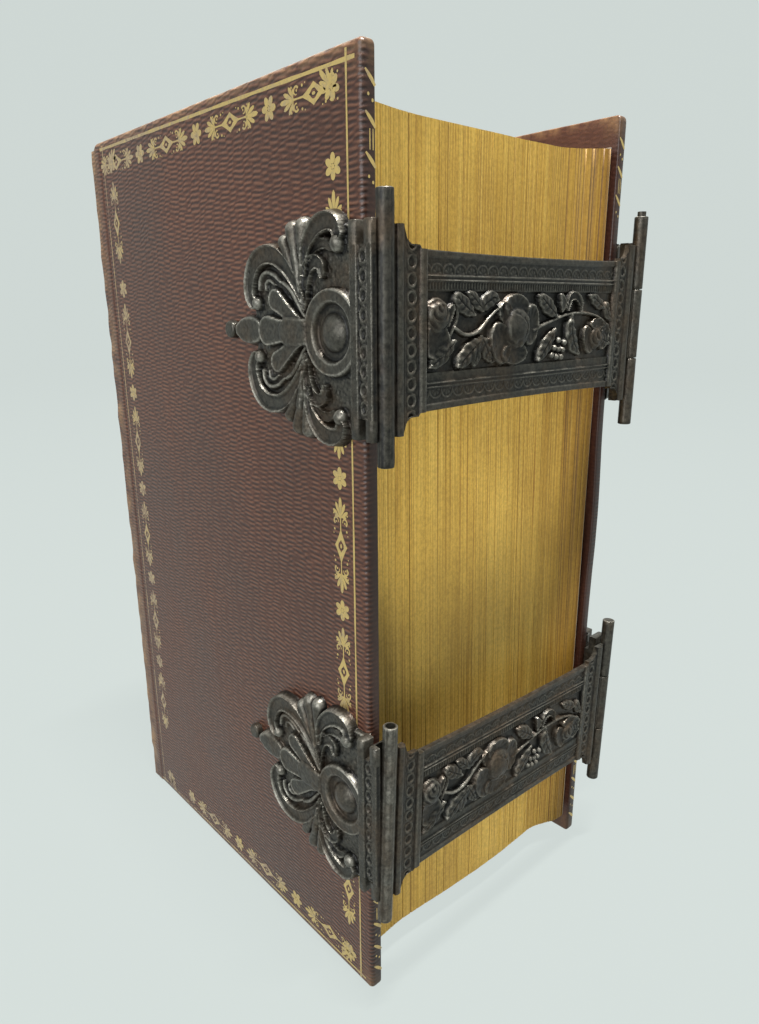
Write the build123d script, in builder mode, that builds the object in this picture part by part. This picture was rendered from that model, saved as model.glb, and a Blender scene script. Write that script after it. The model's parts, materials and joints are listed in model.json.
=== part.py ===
from build123d import *
from math import asin, cos, degrees, radians, sin, sqrt
import os

os.makedirs("parts", exist_ok=True)

# Antique leather book, standing on the tail edges of its boards.
# Millimetres. +Z is up, the fore-edge faces -Y, the spine faces +Y,
# and the front cover is at -X. While it is built, Y = 0 is the boards' fore-edge.

# Boards and book
book_height = 180.0
board_width = 101.8
book_thickness = 75.5
cover_thickness = 2.8
leather_outside = 0.6
leather_turned_in = 0.4
turn_in_width = 11.0
corner_radius = 2.2
outer_edge_radius = 0.9
inner_edge_radius = 0.35
glue_gap = 0.05

# Pages and endpapers
cover_gap = 0.5
flyleaf_thickness = 0.4
tail_square = 6.5
head_square = 7.0
fore_edge_setback = 4.7
fore_edge_head_hollow = 2.2
fore_edge_head_turn = 0.9
fore_edge_tail_swell = 1.3
fore_edge_tail_turn = 2.0
last_leaf_setback = 0.3
flyleaf_proud = 0.7

# Spine
joint_gap = 0.3
spine_bulge = 9.0
spine_leather_thickness = 0.8
spine_lining_thickness = 1.2
spine_cap_drop = 1.2
spine_cap_width = 3.4
cord_count = 5
first_cord_from_tail = 33.0
last_cord_from_head = 31.0
cord_width = 3.6
cord_crown = 2.4
cord_rise = 1.1
band_foot = 6.4
band_crown = 3.2
headband_radius = 1.15

# Clasps: from the head, above the floor, and how far the lower one's plates and strap hang askew
upper_clasp_from_head = 43.0
lower_back_plate_height = 42.4
lower_front_plate_raise = 3.0
lower_hinge_drop = 0.35
lower_strap_tilt = 2.2

# Cast plates on the boards
plate_reach = 36.4
plate_height = 38.8
plate_thickness = 0.9
strip_inner_edge = 2.4
strip_outer_edge = 3.3
strip_height = 34.4
strip_rise = 1.2
rib_inner_width = 1.4
rib_outer_width = 1.6
rib_rise = 0.6
notch_width = 1.7
notch_depth = 3.6
notch_from_rib = 0.2
edge_bar_depth = 1.6
edge_bar_gap = 0.25
peg_radius = 0.7
peg_clearance = 0.08
peg_engagement = 1.6

# Relief on the plates
scroll_rise = 1.5
scroll_dish = 0.8
scroll_rim = 0.8
scroll_draft = 20.0
boss_radius = 7.1
boss_well_radius = 4.7
boss_floor_radius = 3.9
boss_dome_radius = 2.4
boss_ring_rise = 1.5
boss_ring_slope = 0.4
boss_floor_rise = 0.3
boss_dome_rise = 1.9
boss_from_edge = 7.8
petal_rise = 1.4
petal_draft = 25.0
petal_neck_radius = 0.9
bud_rise = 1.3
bud_draft = 30.0

# Studs beyond the plates' tips
stud_from_edge = 39.5
stud_head_radius = 1.7
stud_head_height = 1.7
stud_head_round = 0.6
stud_shank_radius = 0.8

# Hinge and catch tube
axis_setback = 5.0
tube_radius = 1.45
tube_wall = 0.5
tube_length = 43.0
barrel_length = 45.0
middle_knuckle_length = 14.7
knuckle_gap = 0.15
pin_radius = 0.9
pin_running_gap = 0.04
pin_proud = 1.0
hinge_web_thickness = 1.5
tube_solder_gap = 0.03

# Straps
strap_thickness = 1.0
strap_height = 26.2
strap_waist = 0.35
shoulder_height = 33.0
moulding_width = 2.2
moulding_radius = 1.15
moulding_clearance = 0.35
shoulder_length = 3.6
chain_band_height = 27.4
end_rib_width = 1.5
end_rib_rise = 0.45
rule_width = 0.45
rule_rise = 0.3
rule_gap = 0.5
border_width = 3.6
field_inset = 1.4
field_sink = 0.4

# Relief on the straps
rose_radius = 4.6
rose_rise = 2.3
rose_petal_rise = 1.1
flora_rise = 0.8
flora_draft = 22.0
bud_flower_rise = 1.7
stem_width = 0.75
stem_rise = 0.8
berry_radius = 0.62
berry_rise = 1.0

# How far a cutting shape runs past the solid it cuts
overrun = 1.0

# Shares of the pages' half thickness, and of the setback at the turn, where the fore-edge's curve bends
deepest_share = -0.10
swell_start_share = 0.74
swell_shares = (0.90, 0.42)

# Shares of the strap's shoulder: where the band ends, and where its hollow lies along and up
band_end_share = 0.45
shoulder_hollow_shares = (0.86, 0.30)

# Shares of the plate's reach, of half its height, and again of half its height for a radius
scroll_shares = (
    (0.747, 0.448, 0.335, 0.715, 0.335, 0.200),
    (0.250, 0.675, 0.325, 0.285, 0.560, 0.195),
)
bud_shares = (
    (0.519, 0.923, 0.072),
    (0.434, 0.881, 0.072),
    (0.577, 0.804, 0.064),
    (0.495, 0.706, 0.060),
    (0.725, 0.345, 0.080),
    (0.150, 0.560, 0.078),
    (0.350, 0.640, 0.074),
)
web_shares = ((0.36, 0.40), (0.62, 0.40), (0.575, 0.84), (0.40, 0.90))
ground_shares = (0.07, 0.77, 0.47)
tip_shares = (0.86, 0.165, 0.08)
petal_neck_share = 0.405
petal_shares = ((0.715, 0.0, 0.165), (0.640, 0.320, 0.112), (0.625, -0.335, 0.112))
peg_shares = ((0.25, 0.66), (0.25, -0.66), (0.56, 0.0))

# Shares of the strap's field: along its length and across its half height, then half lengths,
# half widths or radii as shares of half its length and half its height, and turns in degrees
rose_shares = (-0.078, -0.02)
rose_petal_count = 6
rose_petal_ring_share = 0.74
rose_petal_size_share = 0.42
bud_flower_shares = ((-0.449, 0.29, 0.44), (-0.450, -0.04, 0.40), (0.357, -0.26, 0.42))
leaf_shares = (
    (-0.353, 0.56, 0.095, 0.19, -50.0),
    (-0.296, 0.76, 0.070, 0.14, 10.0),
    (-0.229, 0.64, 0.090, 0.20, -15.0),
    (-0.430, -0.55, 0.130, 0.20, 40.0),
    (-0.353, -0.53, 0.110, 0.24, 50.0),
    (-0.280, -0.60, 0.080, 0.17, 100.0),
    (0.090, 0.54, 0.110, 0.24, -20.0),
    (0.084, -0.45, 0.130, 0.17, 55.0),
    (0.182, 0.64, 0.070, 0.17, 80.0),
    (0.270, 0.66, 0.100, 0.20, 15.0),
    (0.393, 0.66, 0.100, 0.15, -30.0),
    (0.450, 0.38, 0.085, 0.17, -40.0),
    (0.270, -0.45, 0.120, 0.17, -60.0),
    (0.450, -0.40, 0.085, 0.17, -35.0),
)
stem_shares = (
    ((-0.395, 0.68), (-0.348, -0.14), (-0.178, 0.52)),
    ((0.020, -0.04), (0.280, 0.37), (0.470, -0.12)),
)
berry_shares = (
    (0.160, -0.40), (0.190, -0.32), (0.150, -0.66), (0.182, -0.58),
    (0.165, -0.86), (0.214, -0.44), (0.205, -0.72),
)

# Worked-out places
half_thickness = book_thickness / 2
cover_inner_x = half_thickness - cover_thickness
flyleaf_inner_x = cover_inner_x - cover_gap - flyleaf_thickness
block_half_thickness = flyleaf_inner_x
block_height = book_height - tail_square - head_square
core_thickness = cover_thickness - leather_outside - leather_turned_in
joint_y = board_width + joint_gap
spine_half_width = half_thickness - glue_gap
spine_outer_radius = (spine_half_width ** 2 + spine_bulge ** 2) / (2 * spine_bulge)
spine_centre_y = joint_y + spine_bulge - spine_outer_radius
spine_inner_radius = spine_outer_radius - spine_leather_thickness
block_back_radius = spine_inner_radius - spine_lining_thickness
block_corner_y = spine_centre_y + sqrt(block_back_radius ** 2 - block_half_thickness ** 2)
flat_leaf_end = (fore_edge_setback + block_corner_y) / 2
spine_back_y = joint_y + spine_bulge + cord_rise
cap_height = book_height - spine_cap_drop
axis_x = half_thickness
upper_clasp_height = book_height - upper_clasp_from_head
lower_front_plate_height = lower_back_plate_height + lower_front_plate_raise
lower_hinge_height = lower_back_plate_height - lower_hinge_drop
lower_strap_height = lower_hinge_height + axis_x * sin(radians(lower_strap_tilt))
strap_front_y = axis_setback + strap_thickness / 2
book_front_y = strap_front_y - field_sink + rose_rise
origin_y = (spine_back_y - book_front_y) / 2
plate_half_height = plate_height / 2
boss_centre_x = boss_from_edge
hinge_web_depth = axis_setback - strip_outer_edge + overrun
middle_half = middle_knuckle_length / 2
barrel_half = barrel_length / 2
moulding_inner = tube_radius + moulding_clearance
panel_half = axis_x - moulding_inner - moulding_width - shoulder_length
field_half_length = panel_half - end_rib_width
field_height = strap_height - 2 * border_width - 2 * rule_width - 2 * rule_gap - 2 * field_inset
field_half_height = field_height / 2


def save(name, part):
    """Move a finished piece into the part's own frame and write it."""
    piece = part.moved(Location((0, -origin_y, 0)))
    piece.label = name
    export_step(piece, f"parts/{name}.step")


def on_back_board(depth, height):
    """Plane on the back cover's outside: x runs towards the spine, y up, normal away from the book."""
    origin = (half_thickness + depth, 0, height)
    return Plane(origin=origin, x_dir=(0, 1, 0), z_dir=(1, 0, 0))


def on_strap(depth):
    """Plane of a level strap: x runs along it to the back cover, y up, normal away from the fore-edge."""
    return Plane(origin=(0, -axis_setback - depth, 0), x_dir=(1, 0, 0), z_dir=(0, -1, 0))


def across_strap(along, shift):
    """Plane square to a level strap's height, at a place along it and above its middle line."""
    return Plane(origin=(along, -axis_setback, shift), x_dir=(1, 0, 0), z_dir=(0, 0, 1))


def hang(piece, height, tilt):
    """Raise a piece of the clasp to its height, turned askew in the strap's own plane."""
    return piece.moved(Location((0, 0, height), (0, tilt, 0)))


def dome_profile(radius, rise, level):
    """Points for half of a round dome on the axis: its foot, a point on its arc and its top."""
    ball = (radius ** 2 + rise ** 2) / (2 * rise)
    half_turn = asin(min(1, radius / ball)) / 2
    middle = (ball * sin(half_turn), level + rise - ball + ball * cos(half_turn))
    return (radius, level), middle, (0, level + rise)


# The pages: one solid, hollow along the head and swollen along the tail of the fore-edge, whose last
# leaves come forward to the back board
tail_curve = (tail_square, fore_edge_setback - fore_edge_tail_swell, fore_edge_setback - fore_edge_tail_turn)
head_curve = (
    tail_square + block_height,
    fore_edge_setback + fore_edge_head_hollow,
    fore_edge_setback + fore_edge_head_turn,
)
with BuildPart() as text_block:
    for curve_height, middle_setback, turn_setback in (tail_curve, head_curve):
        with BuildSketch(Plane.XY.offset(curve_height)):
            with BuildLine():
                near = (-block_half_thickness, fore_edge_setback)
                middle = (deepest_share * block_half_thickness, middle_setback)
                turn = (swell_start_share * block_half_thickness, turn_setback)
                swell = (swell_shares[0] * block_half_thickness, swell_shares[1] * turn_setback)
                far = (block_half_thickness, last_leaf_setback)
                ThreePointArc(near, middle, turn)
                ThreePointArc(turn, swell, far)
                far_end = (block_half_thickness, flat_leaf_end)
                Polyline(far, far_end, (-block_half_thickness, flat_leaf_end), near)
            make_face()
    loft(ruled=True)
    with BuildSketch(Plane.XY.offset(tail_square)):
        with BuildLine():
            back = (0, spine_centre_y + block_back_radius)
            corner = (block_half_thickness, block_corner_y)
            ThreePointArc(corner, back, (-block_half_thickness, block_corner_y))
            foot = (-block_half_thickness, flat_leaf_end)
            Polyline((-block_half_thickness, block_corner_y), foot, (block_half_thickness, flat_leaf_end), corner)
        make_face()
    extrude(amount=block_height)
save("text_block", text_block.part)


def flyleaf(side, front_edge, proud):
    """Free endpaper beside the pages, from near the fore-edge to the shoulder."""
    centre_x = side * (block_half_thickness + flyleaf_thickness / 2)
    length = block_corner_y - front_edge
    with BuildPart() as leaf:
        with BuildSketch(Plane.XY.offset(tail_square)):
            with Locations((centre_x, front_edge)):
                Rectangle(flyleaf_thickness, length, align=(Align.CENTER, Align.MIN))
        extrude(amount=block_height + proud)
    return leaf.part


save("front_flyleaf", flyleaf(-1, fore_edge_setback, 0))
save("back_flyleaf", flyleaf(1, last_leaf_setback, flyleaf_proud))

def turned_spine(outlines):
    """Outlines in distance from the spine's centre and height, turned round it and cut at the joints."""
    section = Plane(origin=(0, spine_centre_y, 0), x_dir=(0, -1, 0), z_dir=(-1, 0, 0))
    with BuildPart() as piece:
        with BuildSketch(section):
            for outline in outlines:
                with BuildLine():
                    Polyline(*outline, close=True)
                make_face()
        revolve(axis=Axis((0, spine_centre_y, 0), (0, 0, 1)))
        with BuildSketch():
            with Locations((0, joint_y)):
                Rectangle(2 * spine_half_width, spine_outer_radius, align=(Align.CENTER, Align.MIN))
        extrude(amount=book_height, mode=Mode.INTERSECT)
    return piece.part


# Raised sewing cords across the back of the pages
cord_pitch = (book_height - last_cord_from_head - first_cord_from_tail) / (cord_count - 1)
cord_heights = [first_cord_from_tail + number * cord_pitch for number in range(cord_count)]
cord_outer_radius = spine_inner_radius + cord_rise
cord_outlines = [
    (
        (block_back_radius, height - cord_width / 2),
        (spine_inner_radius, height - cord_width / 2),
        (cord_outer_radius, height - cord_crown / 2),
        (cord_outer_radius, height + cord_crown / 2),
        (spine_inner_radius, height + cord_width / 2),
        (block_back_radius, height + cord_width / 2),
    )
    for height in cord_heights
]
save("sewing_cords", turned_spine(cord_outlines))

# Lining glued on the back, one piece in each panel between the cords
panel_feet = [tail_square] + [height + cord_width / 2 for height in cord_heights]
panel_heads = [height - cord_width / 2 for height in cord_heights] + [tail_square + block_height]
lining_outlines = [
    (
        (block_back_radius, foot),
        (spine_inner_radius, foot),
        (spine_inner_radius, head),
        (block_back_radius, head),
    )
    for foot, head in zip(panel_feet, panel_heads)
]
save("spine_lining", turned_spine(lining_outlines))

# Leather over the spine: raised over each cord, and turned in at head and tail as caps
band_radius = spine_outer_radius + cord_rise
cap_inner_radius = spine_outer_radius - spine_cap_width
outside = [(spine_outer_radius, 0)]
inside = [(cap_inner_radius, 0), (cap_inner_radius, spine_leather_thickness)]
inside.append((spine_inner_radius, spine_leather_thickness))
for height in cord_heights:
    outside.append((spine_outer_radius, height - band_foot / 2))
    outside.append((band_radius, height - band_crown / 2))
    outside.append((band_radius, height + band_crown / 2))
    outside.append((spine_outer_radius, height + band_foot / 2))
    inside.append((spine_inner_radius, height - cord_width / 2))
    inside.append((cord_outer_radius, height - cord_crown / 2))
    inside.append((cord_outer_radius, height + cord_crown / 2))
    inside.append((spine_inner_radius, height + cord_width / 2))
outside.append((spine_outer_radius, cap_height))
inside.append((spine_inner_radius, cap_height - spine_leather_thickness))
inside.append((cap_inner_radius, cap_height - spine_leather_thickness))
inside.append((cap_inner_radius, cap_height))
save("spine_leather", turned_spine([outside + inside[::-1]]))


def headband(height):
    """Sewn band: a round cord laid along the back edge of the pages."""
    ring_radius = block_back_radius - headband_radius
    half_angle = degrees(asin((block_half_thickness - 2 * headband_radius) / ring_radius))
    with BuildPart() as band:
        with BuildLine(Plane.XY.offset(height)) as path:
            CenterArc((0, spine_centre_y), ring_radius, 90 - half_angle, 2 * half_angle)
        with BuildSketch(Plane(origin=path.line @ 0, z_dir=path.line % 0)):
            Circle(headband_radius)
        sweep()
    return band.part


save("head_band", headband(tail_square + block_height + headband_radius))
save("tail_band", headband(tail_square - headband_radius))


def peg_places(plate_height_above_floor):
    """Places of a plate's pegs on the board, as distance from the fore-edge and height."""
    return [
        (along * plate_reach, plate_height_above_floor + across * plate_half_height)
        for along, across in peg_shares
    ]


def cover(plate_heights):
    """Back cover as core board, leather and pastedown; the front one is its mirror image."""
    pegs = [place for height in plate_heights for place in peg_places(height)]
    studs = [(stud_from_edge, height) for height in plate_heights]
    hole_depth = leather_outside + peg_engagement + glue_gap
    core_plane = Plane(origin=(cover_inner_x + leather_turned_in, 0, 0), x_dir=(0, 1, 0), z_dir=(1, 0, 0))
    inner_plane = Plane(origin=(cover_inner_x, 0, 0), x_dir=(0, 1, 0), z_dir=(1, 0, 0))
    middle = (board_width / 2, book_height / 2)

    with BuildPart() as drills:
        with BuildSketch(on_back_board(overrun, 0)):
            with Locations(*pegs):
                Circle(peg_radius + peg_clearance)
            with Locations(*studs):
                Circle(stud_shank_radius + peg_clearance)
        extrude(amount=-(hole_depth + overrun))

    with BuildPart() as board:
        with BuildSketch(core_plane):
            with Locations(middle):
                Rectangle(board_width - 2 * leather_outside, book_height - 2 * leather_outside)
        extrude(amount=core_thickness)
        fore_corners = board.edges().filter_by(Axis.X).group_by(Axis.Y)[0]
        fillet(fore_corners, corner_radius - leather_outside)
        core_block = board.part
        add(drills.part, mode=Mode.SUBTRACT)

    with BuildPart() as leather:
        with BuildSketch(inner_plane):
            with Locations(middle):
                Rectangle(board_width, book_height)
        extrude(amount=cover_thickness)
        fillet(leather.edges().filter_by(Axis.X).group_by(Axis.Y)[0], corner_radius)
        spine_side = leather.faces().sort_by(Axis.Y)[-1]
        outside = leather.faces().sort_by(Axis.X)[-1]
        spine_side_edges = spine_side.edges()
        fillet([edge for edge in outside.edges() if edge not in spine_side_edges], outer_edge_radius)
        inside = leather.faces().sort_by(Axis.X)[0]
        spine_side_edges = leather.faces().sort_by(Axis.Y)[-1].edges()
        fillet([edge for edge in inside.edges() if edge not in spine_side_edges], inner_edge_radius)
        add(core_block, mode=Mode.SUBTRACT)
        with BuildSketch(inner_plane.offset(-overrun)):
            with Locations(middle):
                Rectangle(board_width - 2 * turn_in_width, book_height - 2 * turn_in_width)
        extrude(amount=leather_turned_in + overrun, mode=Mode.SUBTRACT)
        add(drills.part, mode=Mode.SUBTRACT)

    with BuildPart() as pastedown:
        with BuildSketch(inner_plane):
            with Locations(middle):
                paper_width = board_width - 2 * turn_in_width - 2 * glue_gap
                paper_height = book_height - 2 * turn_in_width - 2 * glue_gap
                Rectangle(paper_width, paper_height)
        extrude(amount=leather_turned_in)
    return board.part, leather.part, pastedown.part


def scroll_plate():
    """Cast plate on the back board, symmetric about its middle line, with pegs on its inside."""
    base = on_back_board(0, 0)
    top = on_back_board(plate_thickness, 0)
    ups = (1, -1)

    def place(along, across):
        return along * plate_reach, across * plate_half_height

    with BuildPart() as plate:
        # Ground of the casting: four lobes, the bud groups between them, the tip and the middle field
        with BuildSketch(base):
            start, end, half = ground_shares
            field_centre = ((start + end) / 2 * plate_reach, 0)
            with Locations(field_centre):
                Rectangle((end - start) * plate_reach, 2 * half * plate_half_height)
            for up in ups:
                for along, across, radius, hollow_along, hollow_across, hollow_radius in scroll_shares:
                    with Locations(place(along, up * across)):
                        Circle(radius * plate_half_height)
                for along, across, radius in bud_shares:
                    with Locations(place(along, up * across)):
                        Circle(radius * plate_half_height)
                with BuildLine():
                    Polyline(*[place(along, up * across) for along, across in web_shares], close=True)
                make_face()
            along, half_tip, corner = tip_shares
            tip_length = (1 - along) * 2 * plate_reach
            with Locations((along * plate_reach, 0)):
                tip_height = 2 * half_tip * plate_half_height
                RectangleRounded(tip_length, tip_height, corner * plate_half_height)
        extrude(amount=plate_thickness)

        # Scrolls: raised crescents, dished between their rims
        for up in ups:
            for along, across, radius, hollow_along, hollow_across, hollow_radius in scroll_shares:
                outer = radius * plate_half_height
                inner = hollow_radius * plate_half_height
                with BuildSketch(top):
                    with Locations(place(along, up * across)):
                        Circle(outer)
                    with Locations(place(hollow_along, up * hollow_across)):
                        Circle(inner, mode=Mode.SUBTRACT)
                extrude(amount=scroll_rise, taper=scroll_draft)
                with BuildSketch(top.offset(scroll_rise)):
                    with Locations(place(along, up * across)):
                        Circle(outer - 2 * scroll_rim)
                    with Locations(place(hollow_along, up * hollow_across)):
                        Circle(inner + 2 * scroll_rim, mode=Mode.SUBTRACT)
                extrude(amount=-scroll_dish, mode=Mode.SUBTRACT)

        # Buds between and inside the scrolls
        with BuildSketch(top):
            for up in ups:
                for along, across, radius in bud_shares:
                    with Locations(place(along, up * across)):
                        Circle(radius * plate_half_height)
        extrude(amount=bud_rise, taper=bud_draft)

        # Trefoil: each petal is a round head drawn in to a narrow neck beside the boss
        neck = Vector(petal_neck_share * plate_reach, 0)
        for along, across, radius in petal_shares:
            head = Vector(*place(along, across))
            head_radius = radius * plate_half_height
            side = (head - neck).normalized().rotate(Axis.Z, 90)
            with BuildSketch(top):
                with Locations(head):
                    Circle(head_radius)
                with BuildLine():
                    neck_side = side * petal_neck_radius
                    head_side = side * head_radius
                    upper_side = (neck + neck_side, head + head_side)
                    lower_side = (head - head_side, neck - neck_side)
                    Polyline(*upper_side, *lower_side, close=True)
                make_face()
            extrude(amount=petal_rise, taper=petal_draft)

        # Boss: a sloping ring round a well with a dome in it
        boss_centre = base.from_local_coords((boss_centre_x, 0, 0))
        with BuildSketch(Plane(origin=boss_centre, x_dir=(0, 0, 1), z_dir=(0, 1, 0))):
            floor_level = plate_thickness + boss_floor_rise
            ring_level = plate_thickness + boss_ring_rise
            foot, dome_side, dome_top = dome_profile(boss_dome_radius, boss_dome_rise, floor_level)
            with BuildLine():
                Polyline(
                    (0, 0),
                    (boss_radius, 0),
                    (boss_radius, ring_level - boss_ring_slope),
                    (boss_well_radius, ring_level),
                    (boss_floor_radius, floor_level),
                    foot,
                )
                ThreePointArc(foot, dome_side, dome_top)
                Line(dome_top, (0, 0))
            make_face()
        revolve(axis=Axis(boss_centre, (1, 0, 0)))

        # Strip along the board's edge, with two ribs and a sunk band between them
        strip_width = strip_inner_edge + strip_outer_edge
        with BuildSketch(base):
            with Locations((strip_inner_edge - strip_width / 2, 0)):
                Rectangle(strip_width, strip_height)
        extrude(amount=plate_thickness + strip_rise)
        with BuildSketch(top.offset(strip_rise)):
            with Locations((strip_inner_edge - rib_inner_width / 2, 0)):
                Rectangle(rib_inner_width, strip_height)
            with Locations((-strip_outer_edge + rib_outer_width / 2, 0)):
                Rectangle(rib_outer_width, strip_height)
        extrude(amount=rib_rise)

        # Bar in front of the board's edge, under the strip
        bar_width = strip_outer_edge - edge_bar_gap
        with BuildSketch(base):
            with Locations((-edge_bar_gap - bar_width / 2, 0)):
                Rectangle(bar_width, strip_height)
        extrude(amount=-edge_bar_depth)

        # Slits cut in from both ends of the sunk band
        slit_along = strip_inner_edge - rib_inner_width - notch_from_rib - notch_width / 2
        with BuildSketch(base.offset(-edge_bar_depth - overrun)):
            for up in ups:
                with Locations((slit_along, up * (strip_height / 2 - notch_depth / 2 + overrun / 2))):
                    Rectangle(notch_width, notch_depth + overrun)
        cut_depth = edge_bar_depth + plate_thickness + strip_rise + rib_rise + 2 * overrun
        extrude(amount=cut_depth, mode=Mode.SUBTRACT)

        # Pegs that go through the leather into the board
        with BuildSketch(base):
            with Locations(*[place(along, across) for along, across in peg_shares]):
                Circle(peg_radius)
        extrude(amount=-(leather_outside + peg_engagement))
    return plate.part


def hinged_plate(casting, height, strap_level, tilt):
    """Scroll plate with the hinge's two outer knuckles webbed to its bar."""
    outer_start = middle_half + knuckle_gap
    with BuildPart() as knuckles:
        for foot, web_foot in ((outer_start, outer_start), (-barrel_half, -strip_height / 2)):
            with BuildSketch(across_strap(axis_x, foot)):
                Circle(tube_radius)
            extrude(amount=barrel_half - outer_start)
            with BuildSketch(across_strap(axis_x, web_foot)):
                with Locations((0, hinge_web_depth / 2)):
                    Rectangle(hinge_web_thickness, hinge_web_depth)
            extrude(amount=strip_height / 2 - outer_start)
    with BuildPart() as bore:
        with BuildSketch(across_strap(axis_x, -barrel_half - overrun)):
            Circle(pin_radius + pin_running_gap)
        extrude(amount=barrel_length + 2 * overrun)
    with BuildPart() as plate:
        add(casting.moved(Location((0, 0, height))))
        add(hang(knuckles.part, strap_level, tilt))
        add(hang(bore.part, strap_level, tilt), mode=Mode.SUBTRACT)
    return plate.part


def stud():
    """Round-headed stud driven through the leather into the back board."""
    with BuildPart() as pin:
        with BuildSketch(on_back_board(0, 0)):
            with Locations((stud_from_edge, 0)):
                Circle(stud_head_radius)
        extrude(amount=stud_head_height)
        fillet(pin.edges().group_by(Axis.X)[-1], stud_head_round)
        with BuildSketch(on_back_board(0, 0)):
            with Locations((stud_from_edge, 0)):
                Circle(stud_shank_radius)
        extrude(amount=-(leather_outside + peg_engagement))
    return pin.part


def hinge_pin(proud):
    """Pin through all three knuckles, standing proud at the top by a stated length."""
    with BuildPart() as pin:
        with BuildSketch(across_strap(axis_x, -barrel_half)):
            Circle(pin_radius)
        extrude(amount=barrel_length + proud)
    return pin.part


def catch_tube():
    """Rolled tube along the strap's free end."""
    with BuildPart() as tube:
        with BuildSketch(across_strap(-axis_x, -tube_length / 2)):
            Circle(tube_radius)
            Circle(tube_radius - tube_wall, mode=Mode.SUBTRACT)
        extrude(amount=tube_length)
    return tube.part


def strap_flora():
    """Flowers, leaves, stems and berries that stand in the strap's sunk field."""
    field = on_strap(strap_thickness / 2 - field_sink)

    def spot(along, across):
        return along * 2 * field_half_length, across * field_half_height

    with BuildPart() as flora:
        # Stems, as bent strips
        for start, bend, finish in stem_shares:
            with BuildSketch(field):
                with BuildLine():
                    stem = ThreePointArc(spot(*start), spot(*bend), spot(*finish))
                    offset(stem, amount=stem_width / 2, kind=Kind.ARC)
                make_face()
            extrude(amount=stem_rise)

        # Leaves: pointed ovals
        for along, across, length, width, turn in leaf_shares:
            tip = length * field_half_length
            side = width * field_half_height
            with BuildSketch(field * Location((*spot(along, across), 0), (0, 0, turn))):
                with BuildLine():
                    ThreePointArc((-tip, 0), (0, side), (tip, 0))
                    ThreePointArc((tip, 0), (0, -side), (-tip, 0))
                make_face()
            extrude(amount=flora_rise, taper=flora_draft)

        # Bud and side flower
        for along, across, radius in bud_flower_shares:
            with BuildSketch(field):
                with Locations(spot(along, across)):
                    Circle(radius * field_half_height)
            extrude(amount=bud_flower_rise, taper=flora_draft)

        # Rose: a ring of petals under a dome
        rose = Vector(*spot(*rose_shares))
        ring = rose_petal_ring_share * field_half_height
        with BuildSketch(field):
            with Locations(rose):
                with PolarLocations(ring, rose_petal_count):
                    Circle(rose_petal_size_share * field_half_height)
            Rectangle(2 * field_half_length, field_height, mode=Mode.INTERSECT)
        extrude(amount=rose_petal_rise)
        centre = field.from_local_coords((rose.X, rose.Y, 0))
        with BuildSketch(Plane(origin=centre, x_dir=(0, 0, 1), z_dir=(1, 0, 0))):
            foot, shoulder, top_point = dome_profile(rose_radius, rose_rise, 0)
            with BuildLine():
                ThreePointArc(foot, shoulder, top_point)
                Polyline(top_point, (0, 0), foot)
            make_face()
        revolve(axis=Axis(centre, (0, -1, 0)))

        # Berries
        for along, across in berry_shares:
            with BuildSketch(field):
                with Locations(spot(along, across)):
                    Circle(berry_radius)
            extrude(amount=berry_rise, taper=flora_draft)
    return flora.part


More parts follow.
